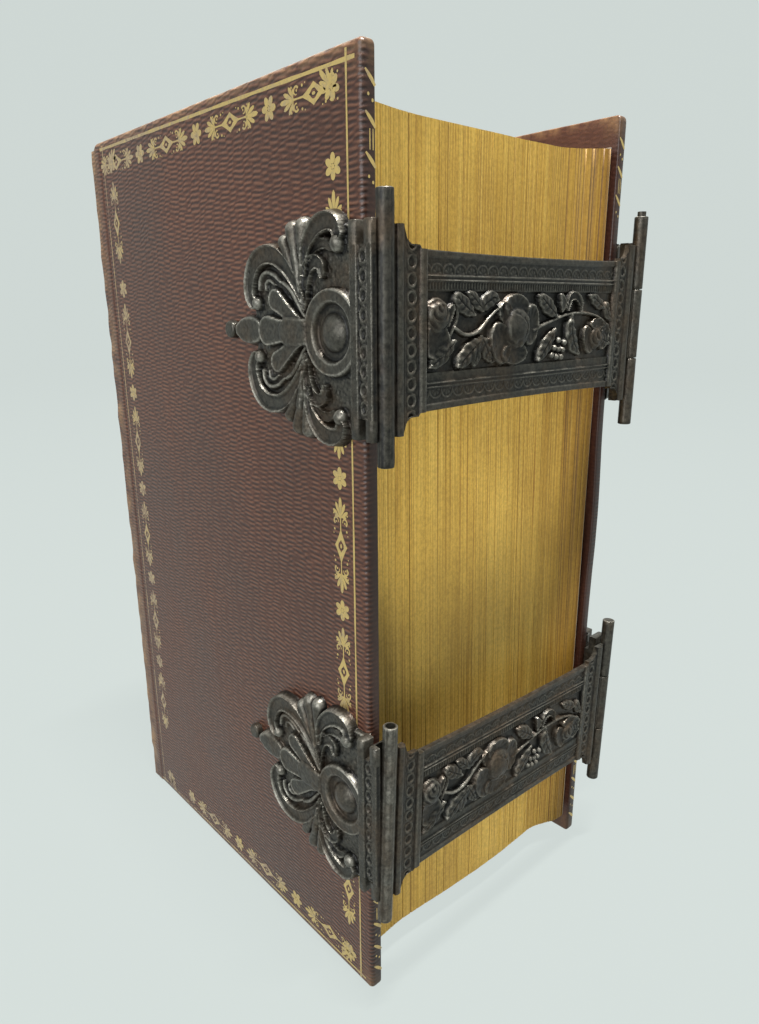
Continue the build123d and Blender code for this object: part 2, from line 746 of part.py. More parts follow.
def clasp_strap():
    """Strap in one piece: outline, rules, end ribs and mouldings, flowers in relief, middle knuckle."""
    back = on_strap(-strap_thickness / 2)
    face = on_strap(strap_thickness / 2)
    field = on_strap(strap_thickness / 2 - field_sink)
    ends = (1, -1)
    moulding_centre = axis_x - moulding_inner - moulding_width / 2
    shoulder_end = panel_half + shoulder_length

    flora = strap_flora()
    with BuildPart() as strap:
        # Sheet: waisted panel, hollow shoulders and square ends
        with BuildSketch(back):
            with BuildLine():
                for up in ends:
                    edge = up * strap_height / 2
                    waist = up * (strap_height / 2 - strap_waist)
                    ThreePointArc((-panel_half, edge), (0, waist), (panel_half, edge))
                for end in ends:
                    Line((end * panel_half, -strap_height / 2), (end * panel_half, strap_height / 2))
            make_face()
            for end in ends:
                with BuildLine():
                    low = chain_band_height / 2
                    high = shoulder_height / 2
                    outer = end * (shoulder_end + moulding_width)
                    start = end * (panel_half - end_rib_width)
                    band_end = end * (panel_half + band_end_share * shoulder_length)
                    hollow_along, hollow_up = shoulder_hollow_shares
                    hollow_x = end * (panel_half + hollow_along * shoulder_length)
                    hollow_y = low + hollow_up * (high - low)
                    inner = end * shoulder_end
                    ThreePointArc((band_end, low), (hollow_x, hollow_y), (inner, high))
                    Polyline((inner, high), (outer, high), (outer, -high), (inner, -high))
                    ThreePointArc((inner, -high), (hollow_x, -hollow_y), (band_end, -low))
                    Polyline((band_end, -low), (start, -low), (start, low), (band_end, low))
                make_face()
        extrude(amount=strap_thickness)

        # Sunk field for the flowers
        with BuildSketch(field):
            Rectangle(2 * field_half_length, field_height)
        extrude(amount=field_sink + overrun, mode=Mode.SUBTRACT)

        # Ribs at the panel's ends and double rules along its borders
        with BuildSketch(face):
            for end in ends:
                with Locations((end * (panel_half - end_rib_width / 2), 0)):
                    Rectangle(end_rib_width, chain_band_height)
        extrude(amount=end_rib_rise)
        with BuildSketch(face):
            for up in ends:
                outer_rule = strap_height / 2 - border_width - rule_width / 2
                with Locations((0, up * outer_rule), (0, up * (outer_rule - rule_width - rule_gap))):
                    Rectangle(2 * field_half_length, rule_width)
        extrude(amount=rule_rise)

        # Half-round mouldings beside the tube and the barrel
        with BuildSketch(across_strap(0, -shoulder_height / 2)):
            with Locations((moulding_centre, 0), (-moulding_centre, 0)):
                Circle(moulding_radius)
        extrude(amount=shoulder_height)

        # Web from the near moulding to the catch tube, hollowed to the tube's round
        near_web = axis_x - moulding_centre
        with BuildSketch(back):
            with Locations((-moulding_centre - near_web / 2, 0)):
                Rectangle(near_web, shoulder_height)
        extrude(amount=strap_thickness)
        with BuildSketch(across_strap(-axis_x, -tube_length / 2)):
            Circle(tube_radius + tube_solder_gap)
        extrude(amount=tube_length, mode=Mode.SUBTRACT)

        # Middle knuckle and its web
        with BuildSketch(back):
            with Locations((moulding_centre + near_web / 2, 0)):
                Rectangle(near_web, middle_knuckle_length)
        extrude(amount=strap_thickness)
        with BuildSketch(across_strap(axis_x, -middle_half)):
            Circle(tube_radius)
        extrude(amount=middle_knuckle_length)
        with BuildSketch(across_strap(axis_x, -middle_half - overrun)):
            Circle(pin_radius + pin_running_gap)
        extrude(amount=middle_knuckle_length + 2 * overrun, mode=Mode.SUBTRACT)
        add(flora)
    return strap.part


back_heights = (upper_clasp_height, lower_back_plate_height)
front_heights = (upper_clasp_height, lower_front_plate_height)

for name, piece in zip(("back_board", "back_leather", "back_pastedown"), cover(back_heights)):
    save(name, piece)
for name, piece in zip(("front_board", "front_leather", "front_pastedown"), cover(front_heights)):
    save(name, piece.mirror(Plane.YZ))

casting = scroll_plate()
board_stud = stud()
free_tube = catch_tube()
strap_shape = clasp_strap()
clasps = (
    ("upper", upper_clasp_height, upper_clasp_height, upper_clasp_height, 0.0, pin_proud),
    ("lower", lower_front_plate_height, lower_back_plate_height, lower_strap_height, lower_strap_tilt, 0.0),
)
for name, front_height, back_height, strap_level, tilt, proud in clasps:
    front_place = Location((0, 0, front_height))
    save(f"{name}_front_plate", casting.mirror(Plane.YZ).moved(front_place))
    save(f"{name}_front_stud", board_stud.mirror(Plane.YZ).moved(front_place))
    save(f"{name}_back_plate", hinged_plate(casting, back_height, strap_level, tilt))
    save(f"{name}_back_stud", board_stud.moved(Location((0, 0, back_height))))
    save(f"{name}_hinge_pin", hang(hinge_pin(proud), strap_level, tilt))
    save(f"{name}_catch_tube", hang(free_tube, strap_level, tilt))
    save(f"{name}_strap", hang(strap_shape, strap_level, tilt))
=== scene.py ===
"""Looks of an old leather book with two silver clasps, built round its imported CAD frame.

Sizes are in millimetres in the binder's own frame: Y = 0 is the fore-edge of the boards, Z = 0 is the
floor and X = 0 the middle of the pages. They become the frame's metres where a mesh is made.
"""

import json
import logging
import math
from dataclasses import dataclass
from enum import Enum

import bpy
import numpy as np
from mathutils import Matrix, Vector

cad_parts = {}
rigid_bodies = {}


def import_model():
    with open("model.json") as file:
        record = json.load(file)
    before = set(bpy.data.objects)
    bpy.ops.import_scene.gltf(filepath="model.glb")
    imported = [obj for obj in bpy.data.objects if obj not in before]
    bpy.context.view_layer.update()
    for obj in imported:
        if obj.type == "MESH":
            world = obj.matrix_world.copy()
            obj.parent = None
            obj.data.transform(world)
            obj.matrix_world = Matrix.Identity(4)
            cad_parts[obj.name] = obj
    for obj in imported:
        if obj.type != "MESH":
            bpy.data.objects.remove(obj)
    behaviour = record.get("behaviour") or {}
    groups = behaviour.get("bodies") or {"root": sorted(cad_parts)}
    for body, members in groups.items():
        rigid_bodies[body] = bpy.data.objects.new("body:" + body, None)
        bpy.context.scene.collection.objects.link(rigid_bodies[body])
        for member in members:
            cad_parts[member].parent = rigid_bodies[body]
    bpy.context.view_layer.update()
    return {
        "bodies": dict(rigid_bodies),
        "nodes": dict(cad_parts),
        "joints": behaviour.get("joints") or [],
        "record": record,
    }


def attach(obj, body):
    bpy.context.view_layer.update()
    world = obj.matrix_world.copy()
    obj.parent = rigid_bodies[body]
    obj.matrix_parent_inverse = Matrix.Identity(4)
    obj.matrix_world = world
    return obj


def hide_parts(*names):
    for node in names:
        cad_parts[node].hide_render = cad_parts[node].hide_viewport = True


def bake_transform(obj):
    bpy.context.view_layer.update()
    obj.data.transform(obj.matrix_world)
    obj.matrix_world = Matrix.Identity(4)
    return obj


LOG = logging.getLogger("leather_book")
METRES_PER_MM = 0.001
FRAME_CENTRE_Y = 52.4  # where the frame has Y = 0
HALF_THICKNESS = 37.75  # from the middle of the pages to the outside of a cover
BOARD_WIDTH = 101.8
BOOK_HEIGHT = 180.0
SPINE_CENTRE_Y = 27.643  # the centre that the round back is turned about
UPPER_LEVEL = 137.0  # middle of the upper clasp
LOWER_FRONT_LEVEL = 45.4
LOWER_STRAP_LEVEL = 43.5
LOWER_BACK_LEVEL = 42.4
LOWER_TILT_DEGREES = 2.2
UNSET = -9.0  # height of a relief's grid where no form stands
SILVER_SHARP = 62.0  # degrees from which the castings' edges are shown sharp

Triple = tuple[float, float, float]
Pair = tuple[float, float]


class Body(str, Enum):
    """Rigid bodies of the frame."""

    BLOCK = "book_block"
    FRONT = "front_cover"
    BACK = "back_cover"
    UPPER_CLASP = "upper_clasp"
    LOWER_CLASP = "lower_clasp"


class Slot(str, Enum):
    """Material slots of the record."""

    LEATHER = "leather"
    BOARD = "millboard"
    PAGES = "gilt_pages"
    ENDPAPER = "endpaper"
    SILVER = "silver"


class Side(Enum):
    """Side of the book: the sign of X on that cover."""

    FRONT = -1
    BACK = 1

    @property
    def label(self) -> str:
        """How the names of its pieces start."""
        return self.name.lower()

    @property
    def cover(self) -> Body:
        """The body of its cover."""
        return Body.FRONT if self is Side.FRONT else Body.BACK


# Meshes


@dataclass
class Surface:
    """Points in millimetres, with quads, larger polygons and a relief value for each point."""

    points: np.ndarray
    quads: np.ndarray
    polygons: list[list[int]]
    relief: np.ndarray

    def reversed(self) -> "Surface":
        """The same surface with the order of each face turned round."""
        polygons = [polygon[::-1] for polygon in self.polygons]
        return Surface(self.points, self.quads[:, ::-1], polygons, self.relief)

    def turned_out(self) -> "Surface":
        """Turn a closed surface's faces so that they point outwards.

        Formula: the sum of the tetrahedra from the origin to each triangle is the volume, and where it is
        negative each face's order is reversed.

        Returns:
            This surface, or its reverse.
        """
        corners = self.points[self.quads]
        fan = [corners[:, [0, 1, 2]], corners[:, [0, 2, 3]]] if len(self.quads) else []
        for polygon in self.polygons:
            ring = self.points[np.array(polygon)]
            first = np.broadcast_to(ring[0], ring[1:-1].shape)
            fan.append(np.stack([first, ring[1:-1], ring[2:]], axis=1))
        triangles = np.concatenate(fan)
        volume = np.einsum("ij,ij->i", triangles[:, 0], np.cross(triangles[:, 1], triangles[:, 2])).sum()
        return self if volume >= 0 else self.reversed()


def joined(surfaces: list[Surface]) -> Surface:
    """Put several surfaces into one.

    Args:
        surfaces: the surfaces, each with its own point numbers.

    Returns:
        One surface with all of them.
    """
    starts = np.cumsum([0] + [len(surface.points) for surface in surfaces])
    quads = [surface.quads + start for surface, start in zip(surfaces, starts) if len(surface.quads)]
    polygons = [
        [int(index + start) for index in polygon]
        for surface, start in zip(surfaces, starts)
        for polygon in surface.polygons
    ]
    return Surface(
        np.concatenate([surface.points for surface in surfaces]),
        np.concatenate(quads) if quads else np.zeros((0, 4), int),
        polygons,
        np.concatenate([surface.relief for surface in surfaces]),
    )


def grid_quads(rows: int, columns: int, wrap_rows: bool = False, wrap_columns: bool = False) -> np.ndarray:
    """Quads of a grid of points that is numbered row by row.

    Args:
        rows: count of rows.
        columns: count of columns.
        wrap_rows: join the last row to the first.
        wrap_columns: join the last column to the first.

    Returns:
        An array of four point numbers for each quad.
    """
    row, column = np.meshgrid(
        np.arange(rows if wrap_rows else rows - 1),
        np.arange(columns if wrap_columns else columns - 1),
        indexing="ij",
    )
    next_row, next_column = (row + 1) % rows, (column + 1) % columns
    corners = [row * columns + column, row * columns + next_column]
    corners += [next_row * columns + next_column, next_row * columns + column]
    return np.stack(corners, axis=-1).reshape(-1, 4)


def loop_body(points: np.ndarray, relief: np.ndarray | None = None, ring: bool = False) -> Surface:
    """Closed body from loops: rows of points, each a closed loop.

    Args:
        points: array (rows, loop, 3) of places.
        relief: array (rows, loop) of relief values, or nothing for zero.
        ring: join the last loop to the first; otherwise both end loops are filled.

    Returns:
        The closed surface, turned outwards.
    """
    rows, columns = points.shape[:2]
    quads = grid_quads(rows, columns, wrap_rows=ring, wrap_columns=True)
    ends = [list(range(columns))[::-1], list(range((rows - 1) * columns, rows * columns))]
    values = np.zeros(rows * columns) if relief is None else relief.reshape(-1)
    return Surface(points.reshape(-1, 3), quads, [] if ring else ends, values).turned_out()


def make_piece(
    name: str,
    surface: Surface,
    body: Body | None,
    material: bpy.types.Material,
    stands_for: tuple[str, ...] = (),
    sharp_degrees: float = 50.0,
) -> bpy.types.Object:
    """Put a surface into the scene as a piece on its body, hiding the CAD nodes that it replaces.

    Args:
        name: the piece's name.
        surface: its points and faces, in millimetres.
        body: the body it rides on, or none for a piece left on no body.
        material: its finish.
        stands_for: CAD nodes that it replaces.
        sharp_degrees: edges that bend by more are shown sharp.

    Returns:
        The object, at the origin with its place in its mesh.
    """
    places = surface.points * METRES_PER_MM - np.array([0.0, FRAME_CENTRE_Y * METRES_PER_MM, 0.0])
    mesh = bpy.data.meshes.new(name)
    faces = surface.quads.tolist() + surface.polygons
    mesh.from_pydata(places.tolist(), [], faces)
    mesh.polygons.foreach_set("use_smooth", np.ones(len(mesh.polygons), bool))
    mesh.set_sharp_from_angle(angle=math.radians(sharp_degrees))
    attribute = mesh.attributes.new("relief", "FLOAT", "POINT")
    attribute.data.foreach_set("value", surface.relief.astype(np.float32))
    mesh.materials.append(material)
    mesh.update()
    piece = bpy.data.objects.new(name, mesh)
    bpy.context.scene.collection.objects.link(piece)
    if body is not None:
        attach(piece, body.value)
    if stands_for:
        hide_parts(*stands_for)
    LOG.info("%s: %d faces on %s", name, len(mesh.polygons), body.value if body else "two bodies")
    return piece


def spline(control: np.ndarray, count: int) -> np.ndarray:
    """Smooth line through control rows.

    Formula: a Catmull-Rom cubic between each two rows, with the ends continued straight.

    Args:
        control: array (rows, values).
        count: count of rows to return.

    Returns:
        Array (count, values).
    """
    rows = np.asarray(control, float)
    padded = np.vstack([2 * rows[0] - rows[1], rows, 2 * rows[-1] - rows[-2]])
    place = np.linspace(0, len(rows) - 1, count)
    index = np.minimum(place.astype(int), len(rows) - 2)
    share = (place - index)[:, None]
    before, start, end, after = (padded[index + shift] for shift in range(4))
    linear = (end - before) * share
    square = (2 * before - 5 * start + 4 * end - after) * share**2
    cube = (3 * start - before - 3 * end + after) * share**3
    return start + 0.5 * (linear + square + cube)


def smooth_step(low: float, high: float, value: np.ndarray) -> np.ndarray:
    """Rise from 0 at low to 1 at high, flat at both ends."""
    share = np.clip((value - low) / (high - low), 0, 1)
    return share * share * (3 - 2 * share)


def relief_tone(height: np.ndarray) -> np.ndarray:
    """Relief value for the silver's colour: how far each place stands above the places round it.

    Formula: 0.62 times the height over a narrow window's mean, in units of 0.15 mm, and 0.38 times the
    height over a wide window's mean, in units of 0.55 mm.

    Args:
        height: grid of heights in millimetres.

    Returns:
        Grid of values from -1 to 1.
    """
    fine = np.clip((height - box_blur(height, 2)) / 0.15, -1, 1)
    broad = np.clip((height - box_blur(height, 6)) / 0.55, -1, 1)
    return 0.62 * fine + 0.38 * broad


def box_blur(field: np.ndarray, reach: int) -> np.ndarray:
    """Mean of a grid over a square window.

    Args:
        field: two-way array.
        reach: cells on each side of the middle one.

    Returns:
        Array of the same shape.
    """
    width = 2 * reach + 1
    for axis in (0, 1):
        pad = [(0, 0), (0, 0)]
        pad[axis] = (reach + 1, reach)
        total = np.cumsum(np.pad(field, pad, mode="edge"), axis=axis)
        high = np.take(total, np.arange(width, total.shape[axis]), axis=axis)
        low = np.take(total, np.arange(0, total.shape[axis] - width), axis=axis)
        field = (high - low) / width
    return field


# Finishes


class Graph:
    """Node tree of one material, with short calls for the nodes that the finishes use."""

    def __init__(self, name: str) -> None:
        """Start an empty material.

        Args:
            name: the material's name.
        """
        self.material = bpy.data.materials.new(name)
        self.material.use_nodes = True
        self.tree = self.material.node_tree
        self.tree.nodes.clear()
        self.output = self.tree.nodes.new("ShaderNodeOutputMaterial")
        self.place = self.tree.nodes.new("ShaderNodeTexCoord").outputs["Object"]

    def put(self, node: bpy.types.Node, inputs: dict) -> bpy.types.Node:
        """Set or link a node's inputs.

        Args:
            node: the node.
            inputs: input names or numbers, with a constant or an output socket each.

        Returns:
            The node.
        """
        for key, value in inputs.items():
            if isinstance(value, bpy.types.NodeSocket):
                self.tree.links.new(value, node.inputs[key])
            else:
                node.inputs[key].default_value = value
        return node

    def noise(self, scale: Triple, detail: float, rough: float):
        """Noise over the Object coordinates.

        Args:
            scale: repeats per metre along X, Y and Z.
            detail: count of finer layers.
            rough: weight of the finer layers.

        Returns:
            The value socket, from 0 to 1.
        """
        mapping = self.tree.nodes.new("ShaderNodeMapping")
        place = self.put(mapping, {"Vector": self.place, "Scale": scale}).outputs[0]
        node = self.tree.nodes.new("ShaderNodeTexNoise")
        values = {"Vector": place, "Scale": 1.0, "Detail": detail, "Roughness": rough}
        return self.put(node, values).outputs["Fac"]

    def ramp(self, value, stops: list[tuple[float, tuple]]):
        """Colour or grey ramp.

        Args:
            value: the socket that drives it.
            stops: places from 0 to 1, each with a grey, or with red, green and blue.

        Returns:
            The colour socket.
        """
        node = self.tree.nodes.new("ShaderNodeValToRGB")
        elements = node.color_ramp.elements
        while len(elements) < len(stops):
            elements.new(0.5)
        for element, (place, colour) in zip(elements, stops):
            shade = (colour,) * 3 if isinstance(colour, (int, float)) else colour
            element.position = place
            element.color = (*shade, 1.0)
        return self.put(node, {0: value}).outputs[0]

    def blend(self, share, first, second, kind: str = "MIX"):
        """Mix two colours."""
        node = self.tree.nodes.new("ShaderNodeMix")
        node.data_type = "RGBA"
        node.blend_type = kind
        first = (*first, 1.0) if isinstance(first, tuple) else first
        second = (*second, 1.0) if isinstance(second, tuple) else second
        return self.put(node, {"Factor": share, 6: first, 7: second}).outputs[2]

    def shaded(self, colour, value, stops: list[tuple[float, tuple]], share: float = 1.0):
        """Colour multiplied by a ramp of a value."""
        return self.blend(share, colour, self.ramp(value, stops), "MULTIPLY")

    def weighted(self, *terms: tuple):
        """Sum of sockets, each times its weight."""
        parts = [value if weight == 1 else self.math("MULTIPLY", value, weight) for value, weight in terms]
        total = parts[0]
        for part in parts[1:]:
            total = self.math("ADD", total, part)
        return total

    def math(self, kind: str, first, second=0.0, clamp: bool = False):
        """One sum on numbers."""
        node = self.tree.nodes.new("ShaderNodeMath")
        node.operation = kind
        node.use_clamp = clamp
        return self.put(node, {0: first, 1: second}).outputs[0]

    def span(self, value, low: float, high: float, start: float = 0.0, end: float = 1.0):
        """Map a number from one span to another, held at both ends."""
        node = self.tree.nodes.new("ShaderNodeMapRange")
        values = {"Value": value, "From Min": low, "From Max": high, "To Min": start, "To Max": end}
        return self.put(node, values).outputs[0]

    def axes(self):
        """X, Y and Z of the Object coordinates, in metres."""
        node = self.tree.nodes.new("ShaderNodeSeparateXYZ")
        return self.put(node, {0: self.place}).outputs

    def value(self, name: str):
        """Number that the mesh carries for each point."""
        node = self.tree.nodes.new("ShaderNodeAttribute")
        node.attribute_name = name
        return node.outputs["Fac"]

    def bump(self, height, distance: float, strength: float):
        """Bump from a height of 0 to 1, over a distance in metres."""
        node = self.tree.nodes.new("ShaderNodeBump")
        return self.put(node, {"Height": height, "Distance": distance, "Strength": strength}).outputs[0]

    def close(self, **inputs) -> bpy.types.Material:
        """End in one Principled shader.

        Args:
            inputs: its inputs, with underscores for spaces.

        Returns:
            The material.
        """
        shader = self.tree.nodes.new("ShaderNodeBsdfPrincipled")
        named = {key.replace("_", " "): value for key, value in inputs.items()}
        colour = named.get("Base Color")
        if isinstance(colour, tuple):
            named["Base Color"] = (*colour, 1.0)
        self.put(shader, named)
        self.tree.links.new(shader.outputs[0], self.output.inputs["Surface"])
        return self.material


@dataclass(frozen=True)
class LeatherFinish:
    """Dark red-brown leather with a straight grain, rubbed pale at its edges."""

    name: str = "straight_grain_leather"
    pitch_mm: float = 0.98
    dash_mm: float = 2.9
    groove: Triple = (0.026, 0.0085, 0.0052)
    body: Triple = (0.064, 0.0215, 0.0112)
    ridge: Triple = (0.158, 0.071, 0.041)
    worn: Triple = (0.34, 0.20, 0.095)
    roughness: float = 0.37
    joint_wear: float = 0.92
    grain_from: float = 0.0374

    def grain(self, graph: Graph):
        """Height of the grain.

        Formula: the cosine of the height, one turn to a pitch, times the cosine of the distance along
        the board, half a turn to a dash, so that lens-shaped dashes stand staggered like bricks. Slow
        noises bend both.

        Args:
            graph: the material's nodes.

        Returns:
            The height socket, from 0 to 1.
        """
        across, along, up = graph.axes()
        bend = graph.math("SUBTRACT", graph.noise((60.0, 60.0, 60.0), 2.0, 0.5), 0.5)
        jitter = graph.math("SUBTRACT", graph.noise((210.0, 210.0, 330.0), 2.0, 0.6), 0.5)
        half_turn = math.pi / METRES_PER_MM
        rows = graph.weighted((up, 2 * half_turn / self.pitch_mm), (bend, 16.0), (jitter, 5.0))
        columns = graph.weighted((along, half_turn / self.dash_mm), (jitter, 7.0))
        both = graph.math("MULTIPLY", graph.math("COSINE", rows), graph.math("COSINE", columns))
        from_middle = graph.math("ABSOLUTE", across)
        outer = graph.span(from_middle, self.grain_from - 0.001, self.grain_from, 0.15, 1.0)
        both = graph.math("MULTIPLY", both, outer)
        return graph.math("ADD", graph.math("MULTIPLY", both, 0.5), 0.5)

    def build(self) -> bpy.types.Material:
        """Make the material.

        Returns:
            Grain as short ridges, with colour from their height, larger stains, worn edges, and painted
            shade that halves the tone of the boards' fore-edge face.
        """
        graph = Graph(self.name)
        grain = self.grain(graph)
        fine = graph.noise((1100.0, 1100.0, 1500.0), 3.0, 0.65)
        stains = graph.noise((34.0, 34.0, 26.0), 4.0, 0.6)
        height = graph.weighted((grain, 0.70), (fine, 0.36))
        colour = graph.ramp(height, [(0.22, self.groove), (0.50, self.body), (0.84, self.ridge)])
        colour = graph.shaded(colour, stains, [(0.32, (0.80, 0.76, 0.74)), (0.62, (1.12, 1.06, 1.04))])
        colour = graph.blend(self.edge_wear(graph), colour, self.worn)
        # painted shade: the tone of the boards' fore-edge face is halved, standing in for the shade that
        # falls on it
        fore_edge_painted_shade = graph.span(graph.axes()[1], -0.0522, -0.0515, 0.50, 1.0)
        colour = graph.shaded(colour, fore_edge_painted_shade, [(0.0, 0.0), (1.0, 1.0)])
        bump = graph.bump(height, 0.00022, 0.65)
        rough = graph.span(stains, 0.3, 0.7, self.roughness - 0.05, self.roughness + 0.08)
        return graph.close(Base_Color=colour, Roughness=rough, Normal=bump, Specular_IOR_Level=0.46)

    def edge_wear(self, graph: Graph):
        """Where the boards' rims are rubbed.

        Args:
            graph: the material's nodes.

        Returns:
            A share from 0 to 1: high at the head, the tail, the joint and the corners, broken by noise.
        """
        _, along, up = graph.axes()
        half_height = BOOK_HEIGHT / 2 * METRES_PER_MM
        from_middle = graph.math("ABSOLUTE", graph.math("SUBTRACT", up, half_height))
        rim = graph.span(from_middle, half_height - 0.0022, half_height - 0.0003, 0.0, 0.62)
        joint_y = (BOARD_WIDTH - FRAME_CENTRE_Y) * METRES_PER_MM
        joint = graph.span(along, joint_y - 0.0040, joint_y - 0.0002, 0.0, self.joint_wear)
        joint = graph.math("MULTIPLY", joint, graph.span(along, joint_y + 0.0002, joint_y + 0.0022, 1.0, 0.0))
        fore_y = -FRAME_CENTRE_Y * METRES_PER_MM
        near_fore = graph.span(along, fore_y + 0.005, fore_y, 0.0, 1.0)
        near_end = graph.span(from_middle, half_height - 0.006, half_height)
        corner = graph.math("MULTIPLY", near_fore, near_end)
        most = graph.math("MAXIMUM", graph.math("MAXIMUM", rim, joint), corner)
        scuffs = graph.noise((230.0, 230.0, 170.0), 5.0, 0.68)
        return graph.math("MULTIPLY", most, graph.span(scuffs, 0.38, 0.64), clamp=True)


@dataclass(frozen=True)
class GoldLeafFinish:
    """Gold leaf pressed into leather, rubbed through in places."""

    name: str = "gold_tooling"
    gold: Triple = (0.72, 0.52, 0.20)
    dull: Triple = (0.44, 0.33, 0.19)
    leather: Triple = (0.10, 0.045, 0.032)

    def build(self) -> bpy.types.Material:
        """Make the material.

        Returns:
            Gold that turns dull and then to leather where it is worn, more so towards joint and tail.
        """
        graph = Graph(self.name)
        _, along, up = graph.axes()
        far = graph.span(along, -0.050, 0.045, 0.0, 0.17)
        low = graph.span(up, 0.10, 0.0, 0.0, 0.05)
        age = graph.math("ADD", far, low)
        rubs = graph.noise((900.0, 900.0, 900.0), 4.0, 0.7)
        patches = graph.noise((120.0, 120.0, 120.0), 3.0, 0.6)
        wear = graph.weighted((rubs, 0.6), (patches, 0.4), (age, 1))
        colour = graph.ramp(wear, [(0.50, self.gold), (0.66, self.dull), (0.80, self.leather)])
        metal = graph.span(wear, 0.55, 0.72, 0.85, 0.0)
        bump = graph.bump(rubs, 0.00008, 0.5)
        return graph.close(Base_Color=colour, Metallic=metal, Roughness=0.36, Normal=bump)


@dataclass(frozen=True)
class GiltEdgeFinish:
    """Worn gilding on the cut edges of the pages, with painted shade in the gaps between the leaves."""

    name: str = "gilt_page_edges"
    gold: Triple = (0.68, 0.435, 0.078)
    pale: Triple = (0.83, 0.585, 0.150)
    brown: Triple = (0.38, 0.205, 0.034)
    # colour of the painted shade in the gaps between the leaves
    shaded_gap: Triple = (0.055, 0.024, 0.006)

    def build(self) -> bpy.types.Material:
        """Make the material.

        Returns:
            Gold with brown stains that run with the leaves, darker and browner towards the back board,
            and darkened by painted shade in the gaps between the leaves, carried by the mesh's relief value.
        """
        graph = Graph(self.name)
        streaks = graph.noise((3600.0, 40.0, 12.0), 3.0, 0.66)
        broad = graph.noise((360.0, 14.0, 6.0), 3.0, 0.6)
        stains = graph.noise((60.0, 50.0, 32.0), 4.0, 0.6)
        specks = graph.noise((1700.0, 1700.0, 1300.0), 3.0, 0.7)
        colour = graph.ramp(streaks, [(0.33, self.brown), (0.47, self.gold), (0.66, self.pale)])
        colour = graph.shaded(colour, broad, [(0.30, (0.80, 0.74, 0.64)), (0.58, 1.0)], 0.75)
        colour = graph.shaded(colour, stains, [(0.36, (0.80, 0.76, 0.68)), (0.58, (1.04, 1.03, 1.0))], 0.8)
        colour = graph.shaded(colour, specks, [(0.38, (0.72, 0.70, 0.66)), (0.60, 1.06)], 0.65)
        # darker and browner over the last leaves, towards the back board
        last = graph.span(graph.axes()[0], 0.0170, 0.0320, 0.0, 0.9)
        colour = graph.blend(last, colour, (0.36, 0.27, 0.07), "MULTIPLY")
        # painted shade in the gaps, from the relief value that the pages' mesh carries
        colour = graph.blend(graph.value("relief"), colour, self.shaded_gap)
        metal = graph.span(streaks, 0.35, 0.6, 0.04, 0.16)
        bump = graph.bump(graph.weighted((streaks, 1), (specks, 0.5)), 0.00010, 0.55)
        return graph.close(Base_Color=colour, Metallic=metal, Roughness=0.58, Normal=bump)


@dataclass(frozen=True)
class SilverFinish:
    """Cast silver, dark with tarnish in the hollows and rubbed bright on the high edges."""

    name: str = "tarnished_silver"
    hollow: Triple = (0.012, 0.0115, 0.0105)
    middle: Triple = (0.062, 0.058, 0.048)
    edge: Triple = (0.25, 0.24, 0.21)
    brown: Triple = (0.070, 0.048, 0.030)
    metal: float = 0.62
    roughness: float = 0.40

    def build(self) -> bpy.types.Material:
        """Make the material.

        Returns:
            Metal whose tone follows the mesh's relief value, with brown tarnish and fine scratches.
        """
        graph = Graph(self.name)
        relief = graph.value("relief")
        spots = graph.noise((520.0, 520.0, 520.0), 4.0, 0.65)
        clouds = graph.noise((110.0, 110.0, 110.0), 3.0, 0.6)
        middled = graph.math("SUBTRACT", spots, 0.5)
        level = graph.math("ADD", graph.weighted((relief, 0.5), (middled, 0.30)), 0.5)
        stops = [(0.26, self.hollow), (0.49, self.middle), (0.60, self.middle), (0.95, self.edge)]
        colour = graph.ramp(level, stops)
        tarnish = graph.span(clouds, 0.44, 0.66, 0.0, 0.7)
        colour = graph.blend(tarnish, colour, self.brown)
        rough = graph.span(spots, 0.3, 0.7, self.roughness - 0.10, self.roughness + 0.14)
        grit = graph.noise((1250.0, 1250.0, 1250.0), 3.0, 0.72)
        colour = graph.shaded(colour, grit, [(0.36, (0.42, 0.41, 0.39)), (0.62, (1.25, 1.24, 1.2))], 0.8)
        bump = graph.bump(graph.weighted((spots, 1), (grit, 0.6)), 0.00012, 0.7)
        return graph.close(Base_Color=colour, Metallic=self.metal, Roughness=rough, Normal=bump)


@dataclass(frozen=True)
class FibreFinish:
    """Paper, board, cord or cloth: a matt fibrous surface of one colour with mottling."""

    name: str
    light: Triple
    dark: Triple
    fibre: Triple = (900.0, 900.0, 900.0)
    relief: float = 0.00006
    roughness: float = 0.85

    def build(self) -> bpy.types.Material:
        """Make the material.

        Returns:
            A mix of two tones by fine fibres and by broad stains.
        """
        graph = Graph(self.name)
        fibres = graph.noise(self.fibre, 4.0, 0.7)
        stains = graph.noise((55.0, 55.0, 55.0), 4.0, 0.6)
        mottling = graph.weighted((fibres, 0.45), (stains, 0.55))
        colour = graph.ramp(mottling, [(0.36, self.dark), (0.60, self.light)])
        bump = graph.bump(fibres, self.relief, 0.7)
        return graph.close(Base_Color=colour, Roughness=self.roughness, Normal=bump)


@dataclass(frozen=True)
class ThreadFinish:
    """Silk wound round a cord in two colours, as on a sewn headband."""

    name: str = "headband_thread"
    first: Triple = (0.33, 0.045, 0.030)
    second: Triple = (0.58, 0.47, 0.30)
    turn: float = 0.0016

    def build(self) -> bpy.types.Material:
        """Make the material.

        Returns:
            Stripes across the band, with the twist of the thread as bump.
        """
        graph = Graph(self.name)
        node = graph.tree.nodes.new("ShaderNodeTexWave")
        node.bands_direction = "X"
        wave = graph.put(node, {"Vector": graph.place, "Scale": 1 / self.turn / 3.1, "Distortion": 1.2})
        stripes = wave.outputs["Fac"]
        threads = graph.noise((3200.0, 600.0, 600.0), 2.0, 0.6)
        colour = graph.ramp(stripes, [(0.46, self.first), (0.54, self.second)])
        colour = graph.shaded(colour, threads, [(0.35, (0.55, 0.5, 0.48)), (0.6, 1.0)])
        return graph.close(Base_Color=colour, Roughness=0.7, Normal=graph.bump(threads, 0.00015, 0.8))


# Pages and spine


